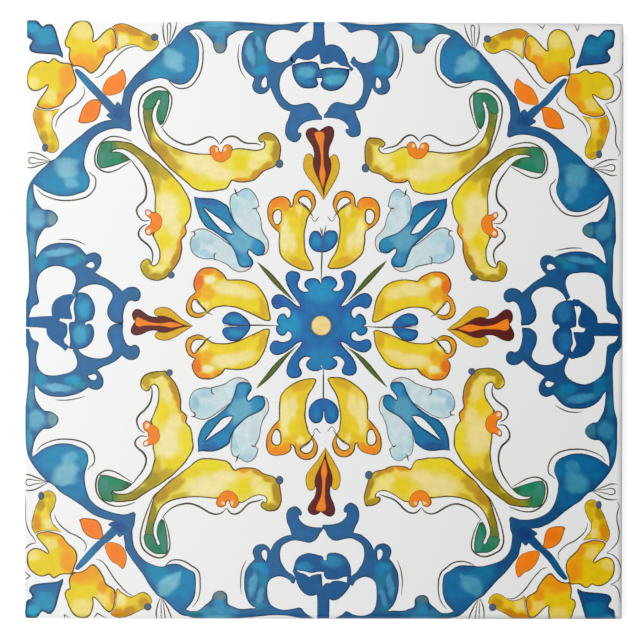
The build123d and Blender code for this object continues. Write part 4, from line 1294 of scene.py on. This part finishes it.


# Fine brush lines: tubes along listed points, pressed flat on the glaze
def inkStrokes(name, material, strokes, wholeStrokes):
    curve = bpy.data.curves.new(name, "CURVE")
    curve.dimensions = "3D"
    curve.resolution_u = inkBrush["curveSteps"]
    curve.bevel_depth = 1.0
    curve.bevel_resolution = 1
    curve.use_fill_caps = True
    jobs = [(text, width, quarter) for text, width in strokes for quarter in quarters]
    jobs += [(text, width, "topLeft") for text, width in wholeStrokes]
    for text, width, quarter in jobs:
        points = readPoints(text)
        spline = curve.splines.new("BEZIER")
        spline.bezier_points.add(len(points) - 1)
        for index, (u, v, corner) in enumerate(points):
            knot = spline.bezier_points[index]
            across, down = toQuarter(u, v, quarter)
            setKnot(knot, (across, -down, 0), corner)
            full = math.sin(math.pi * index / (len(points) - 1)) ** inkBrush["belly"]
            thickness = inkBrush["tip"] + (1 - inkBrush["tip"]) * full
            knot.radius = width * inkBrush["spread"] * thickness
    mesh = meshOfCurve(curve)
    mesh.name = name
    margin = inkBrush["margin"] * mm
    for v in mesh.vertices:
        x = tileLow.x + v.co.x * mm
        y = tileHigh.y + v.co.y * mm
        x = max(tileLow.x + margin, min(tileHigh.x - margin, x))
        y = max(tileLow.y + margin, min(tileHigh.y - margin, y))
        press = max(-1.0, min(1.0, v.co.z / inkBrush["pressed"]))
        rise = (inkBrush["height"] + inkBrush["half"] * press) * mm
        v.co = (x, y, glazeHeight(x, y) + rise)
    for f in mesh.polygons:
        f.use_smooth = True
    newPiece(name, mesh, [material])
    print(name, "drawn,", len(mesh.polygons), "faces")


# Iron ink: a brown-black line that thins to olive where the brush ran dry
def inkMaterial():
    material, tree = newMaterial("iron_brown_ink")
    place = addNode(tree, "ShaderNodeTexCoord")
    dry = addNode(tree, "ShaderNodeTexNoise",
                  inputs={"Scale": scaleFor(inkBrush["dryPatch"]), "Detail": 2.0},
                  links={"Vector": place.outputs["Object"]})
    shade = addNode(tree, "ShaderNodeMapRange",
                    inputs={"From Min": inkBrush["dryFrom"], "From Max": inkBrush["dryTo"]},
                    links={"Value": dry.outputs[0]})
    colour = addNode(tree, "ShaderNodeMix", {"data_type": "RGBA"},
                     {6: toLinear(inkBrush["wet"]), 7: toLinear(inkBrush["dry"])},
                     {0: shade.outputs[0]})
    shader = addNode(tree, "ShaderNodeBsdfPrincipled",
                     inputs={"IOR": inkBrush["ior"], "Roughness": inkBrush["roughness"]},
                     links={"Base Color": colour.outputs[2]})
    addNode(tree, "ShaderNodeOutputMaterial", links={0: shader.outputs[0]})
    return material


# Each line is its points and half its width in millimetres
inkLines = [
    ("43.0,3.4 44.2,4.8 44.9,6.8 45.0,9.2 44.8,11.5 44.3,13.4 43.2,15.4 41.8,16.9 39.8,17.5 "
     "38.2,17.2 37.0,16.3 36.3,15.6", 0.15),
    ("3.1,43.2 4.2,44.4 6.0,45.3 8.5,46.0 10.8,46.1 13.5,45.8 15.8,45.0 17.3,43.5 17.9,41.8 "
     "17.7,40.2 16.8,39.4 16.1,38.7", 0.15),
    ("34.5,27.6 35.6,25.8 36.3,24.2 36.8,22.6 37.1,21.0 37.0,19.6 36.4,18.5 35.5,17.6 34.2,17.1 "
     "32.8,17.3 31.0,18.2 29.7,19.3 29.0,20.8 28.7,22.5 28.8,24.8 29.3,26.9 30.2,29.3 31.1,31.2 "
     "32.2,33.0 33.5,34.3", 0.17),
    ("27.0,31.0 25.5,30.4 23.8,29.9 22.0,29.8 20.6,30.3 19.3,31.3 18.2,32.8 17.7,34.5 17.7,36.2 "
     "18.1,37.4 19.0,38.2 20.3,38.8 21.6,38.8 23.4,38.2 25.0,37.2 26.9,36.0", 0.17),
    ("34.4,27.2 35.5,28.7 37.0,30.1 38.9,31.2 41.0,31.8 43.0,31.4 44.5,30.6 45.9,29.9 47.2,29.8 "
     "48.4,30.5 49.2,31.7", 0.18),
    ("49.2,31.7 49.7,31.2 50.7,30.1 52.0,29.6 53.5,29.8 54.9,30.8 56.2,31.3 58.5,31.4 59.8,31.8",
     0.18),
    ("26.7,35.6 27.9,37.2 29.2,39.0 30.2,41.0 30.7,43.0 30.7,44.5 30.2,46.0 29.2,47.0 28.4,48.0 "
     "28.4,49.2 29.0,50.3 29.9,51.1 31.6,51.1", 0.2),
    ("31.0,52.0 29.8,52.6 29.0,53.6 28.8,54.7 29.4,55.8 30.6,56.8 31.7,57.9 32.3,59.2 32.4,60.6 "
     "32.2,62.0", 0.2),
    ("34.9,0.2 34.8,2.5 35.1,4.8 35.7,6.8", 0.14),
    ("38.3,0.3 38.0,2.2 37.3,4.2 36.0,6.8", 0.14),
    ("35.9,6.6 36.0,3.5 36.4,0.8 36.7,1.2 36.7,3.2 36.2,6.4", 0.12),
    ("0.2,34.0 1.8,34.0 3.4,34.3 5.0,35.1 6.5,36.0", 0.14),
    ("0.2,37.7 1.6,37.8 3.6,37.2 6.5,36.1", 0.14),
    ("6.3,36.1 3.5,35.7 1.1,35.4 0.9,36.3 1.4,36.7 3.0,36.6 6.3,36.2", 0.12),
    ("69.6,46.0 71.4,47.4 72.4,48.8 73.2,50.2", 0.15),
    ("43.3,71.4 44.9,72.9 46.2,74.3 47.6,75.0", 0.15),
    ("72.6,50.0 73.6,51.1 74.2,50.4 74.7,49.9", 0.09),
    ("53.0,42.8 53.4,43.5 53.6,44.2 54.2,44.8", 0.16),
    ("42.0,54.0 42.7,53.9 43.1,54.3 43.0,55.2", 0.15),
    ("48.7,59.2 48.1,59.6 48.0,60.2 48.2,61.2", 0.15),
    ("57.6,48.1 58.3,47.9 58.8,48.2", 0.18),
    ("28.5,6.9 27.0,7.0 25.5,7.5 24.0,8.6 22.5,10.2 21.3,11.9 20.0,13.5 18.6,14.6 17.5,14.9", 0.13),
    ("14.6,17.2 15.0,18.4 14.6,19.6 13.7,20.8 12.4,21.9 11.0,22.6 9.9,23.5 8.8,24.5 8.2,25.4 "
     "7.8,26.6 7.7,27.6", 0.13),
    ("8.5,56.1 9.8,56.0 12.0,56.1 14.0,56.7 15.4,57.4", 0.12),
    ("54.2,6.0 53.9,8.5 54.0,10.5 54.6,12.8 55.8,14.8", 0.12),
]
wholeInkLines = [
    ("75.5,53.0 75.4,57.0 75.4,60.0 75.3,63.0 75.3,66.8", 0.15),
    ("50.6,77.7 54.0,77.7 57.6,77.6 61.0,77.6 64.3,77.7", 0.15),
    ("86.5,77.8 90.0,78.0 93.2,78.0 96.5,77.9 99.8,77.9", 0.15),
    ("75.8,87.0 75.9,91.5 75.9,95.8 76.0,99.4", 0.15),
    ("75.0,52.5 75.2,53.6 75.5,54.9", 0.12), ("76.5,52.0 76.2,53.2 75.7,54.9", 0.12),
    ("152.1,5.0 152.1,9.0 151.9,11.0 151.2,12.2 150.2,12.9 149.4,13.3*", 0.11),
    ("149.4,13.3* 150.8,14.1 151.4,15.2 151.6,16.7 151.3,18.2 150.6,19.4 149.6,20.2 148.6,20.5 "
     "147.5,20.9*", 0.13),
    ("147.5,20.9* 148.2,22.0 149.2,23.8 149.9,25.5 150.3,27.5 150.2,29.5 150.3,31.0 150.9,32.3 "
     "151.4,33.2 150.8,34.3", 0.13),
    ("129.8,0.2 131.5,1.7* 132.3,0.2", 0.12), ("139.4,0.2 140.4,2.3* 141.0,0.2", 0.12),
    ("151.0,122.2 151.4,123.3 150.9,125.3 150.9,127.5 151.3,129.0 151.4,130.8 150.9,132.6 "
     "149.8,134.0 148.2,135.3*", 0.13),
    ("148.2,135.3* 149.4,135.6 150.8,136.7 151.7,138.2 152.1,139.8 151.7,141.5 150.7,142.6 "
     "149.2,143.3*", 0.13),
    ("149.2,143.3* 150.4,143.7 151.3,144.9 151.7,146.5 151.9,148.0", 0.12),
    ("141.9,142.9 141.9,144.1", 0.12),
    ("0.2,120.6 0.4,123.0 0.3,126.0 0.7,128.5 1.6,130.5 2.6,131.8 3.2,133.0*", 0.12),
    ("3.2,133.0* 1.8,133.3 0.8,134.0 0.2,134.8", 0.12),
    ("0.2,140.2 0.8,140.8 1.7,141.4* 0.9,142.0 0.2,142.4", 0.12),
    ("10.4,152.2 10.4,151.2* 11.8,152.2", 0.12),
    ("17.7,152.2 18.3,151.4 18.8,150.8* 20.0,151.6 21.3,152.2", 0.12),
]
inkStrokes("ink_lines", inkMaterial(), inkLines, wholeInkLines)

view = {
    "lens": 70.0,
    "sensor": 36.0,
    "place": (-3.92 * mm, -1.33 * mm, 324.8 * mm),
    "turn": (0.144, -0.578, 0.208),     # degrees
}

lights = {
    "key": {"place": (-0.65, 0.22, 0.9), "size": 0.6, "power": 12.6},
}

floorLook = {
    "half": 2.0,            # metres
    "colour": "#F2F2F2",
    "glow": 0.75,           # for the camera and the gloss alone
}

sky = {
    "colour": "#FFFFFF",
    "dim": 0.02,
    "sheen": 1.45,          # how bright the sky is where the tile's left edge mirrors it
    "sheenFrom": (-0.97, 0.22, 0.0),
    "sheenRise": (-0.22, 0.24),
    "overhead": (0.8, 0.94),    # the sheen stays high over the tile
    "wall": 0.6,            # the pale wall mirrored at a slant
    "wallRise": (0.85, 0.3),
}


def placeCamera():
    camera = bpy.data.objects.new("camera", bpy.data.cameras.new("camera"))
    camera.data.lens = view["lens"]
    camera.data.sensor_width = view["sensor"]
    camera.data.clip_start = 0.01
    camera.location = view["place"]
    camera.rotation_euler = [math.radians(a) for a in view["turn"]]
    bpy.context.scene.collection.objects.link(camera)
    bpy.context.scene.camera = camera


def placeLamps():
    for name, wanted in lights.items():
        data = bpy.data.lights.new(name, "AREA")
        data.shape = "DISK"
        data.size = wanted["size"]
        data.energy = wanted["power"]
        lamp = bpy.data.objects.new(name, data)
        lamp.location = wanted["place"]
        lamp.visible_glossy = False     # the sky does the mirroring
        bpy.context.scene.collection.objects.link(lamp)
        toTile = -lamp.location
        lamp.rotation_euler = toTile.to_track_quat("-Z", "Y").to_euler()


# White paper that keeps the tile's shadow
def layFloor():
    floorMesh = bpy.data.meshes.new("floor")
    bm = bmesh.new()
    bmesh.ops.create_grid(bm, x_segments=1, y_segments=1, size=floorLook["half"])
    bm.to_mesh(floorMesh)
    bm.free()
    floor = bpy.data.objects.new("floor", floorMesh)
    bpy.context.scene.collection.objects.link(floor)
    material, tree = newMaterial("white_paper_floor")
    paper = addNode(tree, "ShaderNodeBsdfDiffuse",
                    inputs={"Color": toLinear(floorLook["colour"])})
    rays = addNode(tree, "ShaderNodeLightPath")
    seen = addNode(tree, "ShaderNodeMath", {"operation": "MAXIMUM"},
                   links={0: rays.outputs["Is Camera Ray"], 1: rays.outputs["Is Glossy Ray"]})
    strength = addNode(tree, "ShaderNodeMath", {"operation": "MULTIPLY"},
                       {1: floorLook["glow"]}, {0: seen.outputs[0]})
    glow = addNode(tree, "ShaderNodeEmission", links={"Strength": strength.outputs[0]})
    both = addNode(tree, "ShaderNodeAddShader", links={0: paper.outputs[0], 1: glow.outputs[0]})
    addNode(tree, "ShaderNodeOutputMaterial", links={0: both.outputs[0]})
    floorMesh.materials.append(material)


# A soft sky that is bright where the left of the tile mirrors it and dark for the right
def lightSky():
    world = bpy.data.worlds.new("studio")
    world.use_nodes = True
    tree = world.node_tree
    toward = addNode(tree, "ShaderNodeTexCoord")
    leftward = addNode(tree, "ShaderNodeVectorMath", {"operation": "DOT_PRODUCT"},
                       {1: sky["sheenFrom"]}, {0: toward.outputs["Generated"]})
    low, high = sky["sheenRise"]
    sheen = addNode(tree, "ShaderNodeMapRange",
                    inputs={"From Min": low, "From Max": high, "To Max": sky["sheen"]},
                    links={"Value": leftward.outputs["Value"]})
    upward = addNode(tree, "ShaderNodeVectorMath", {"operation": "DOT_PRODUCT"},
                     {1: (0.0, 0.0, 1.0)}, {0: toward.outputs["Generated"]})
    low, high = sky["overhead"]
    overhead = addNode(tree, "ShaderNodeMapRange", {"interpolation_type": "SMOOTHSTEP"},
                       {"From Min": low, "From Max": high}, {"Value": upward.outputs["Value"]})
    glow = addNode(tree, "ShaderNodeMath", {"operation": "MULTIPLY_ADD"}, {2: sky["dim"]},
                   {0: sheen.outputs[0], 1: overhead.outputs[0]})
    # what the gloss mirrors near the horizon: a pale studio wall that lights nothing
    low, high = sky["wallRise"]
    wall = addNode(tree, "ShaderNodeMapRange", {"interpolation_type": "SMOOTHSTEP"},
                   {"From Min": low, "From Max": high, "To Max": sky["wall"]},
                   {"Value": upward.outputs["Value"]})
    rays = addNode(tree, "ShaderNodeLightPath")
    mirrored = addNode(tree, "ShaderNodeMath", {"operation": "MULTIPLY_ADD"},
                       links={0: wall.outputs[0], 1: rays.outputs["Is Glossy Ray"],
                              2: glow.outputs[0]})
    # the camera itself sees plain white past the floor
    seen = addNode(tree, "ShaderNodeMath", {"operation": "MAXIMUM"},
                   links={0: mirrored.outputs[0], 1: rays.outputs["Is Camera Ray"]})
    background = tree.nodes["Background"]
    tree.links.new(seen.outputs[0], background.inputs["Strength"])
    background.inputs["Color"].default_value = toLinear(sky["colour"])
    bpy.context.scene.world = world


placeCamera()
placeLamps()
layFloor()
lightSky()
bpy.context.scene.view_settings.view_transform = "Standard"
print("camera, lights and floor done")
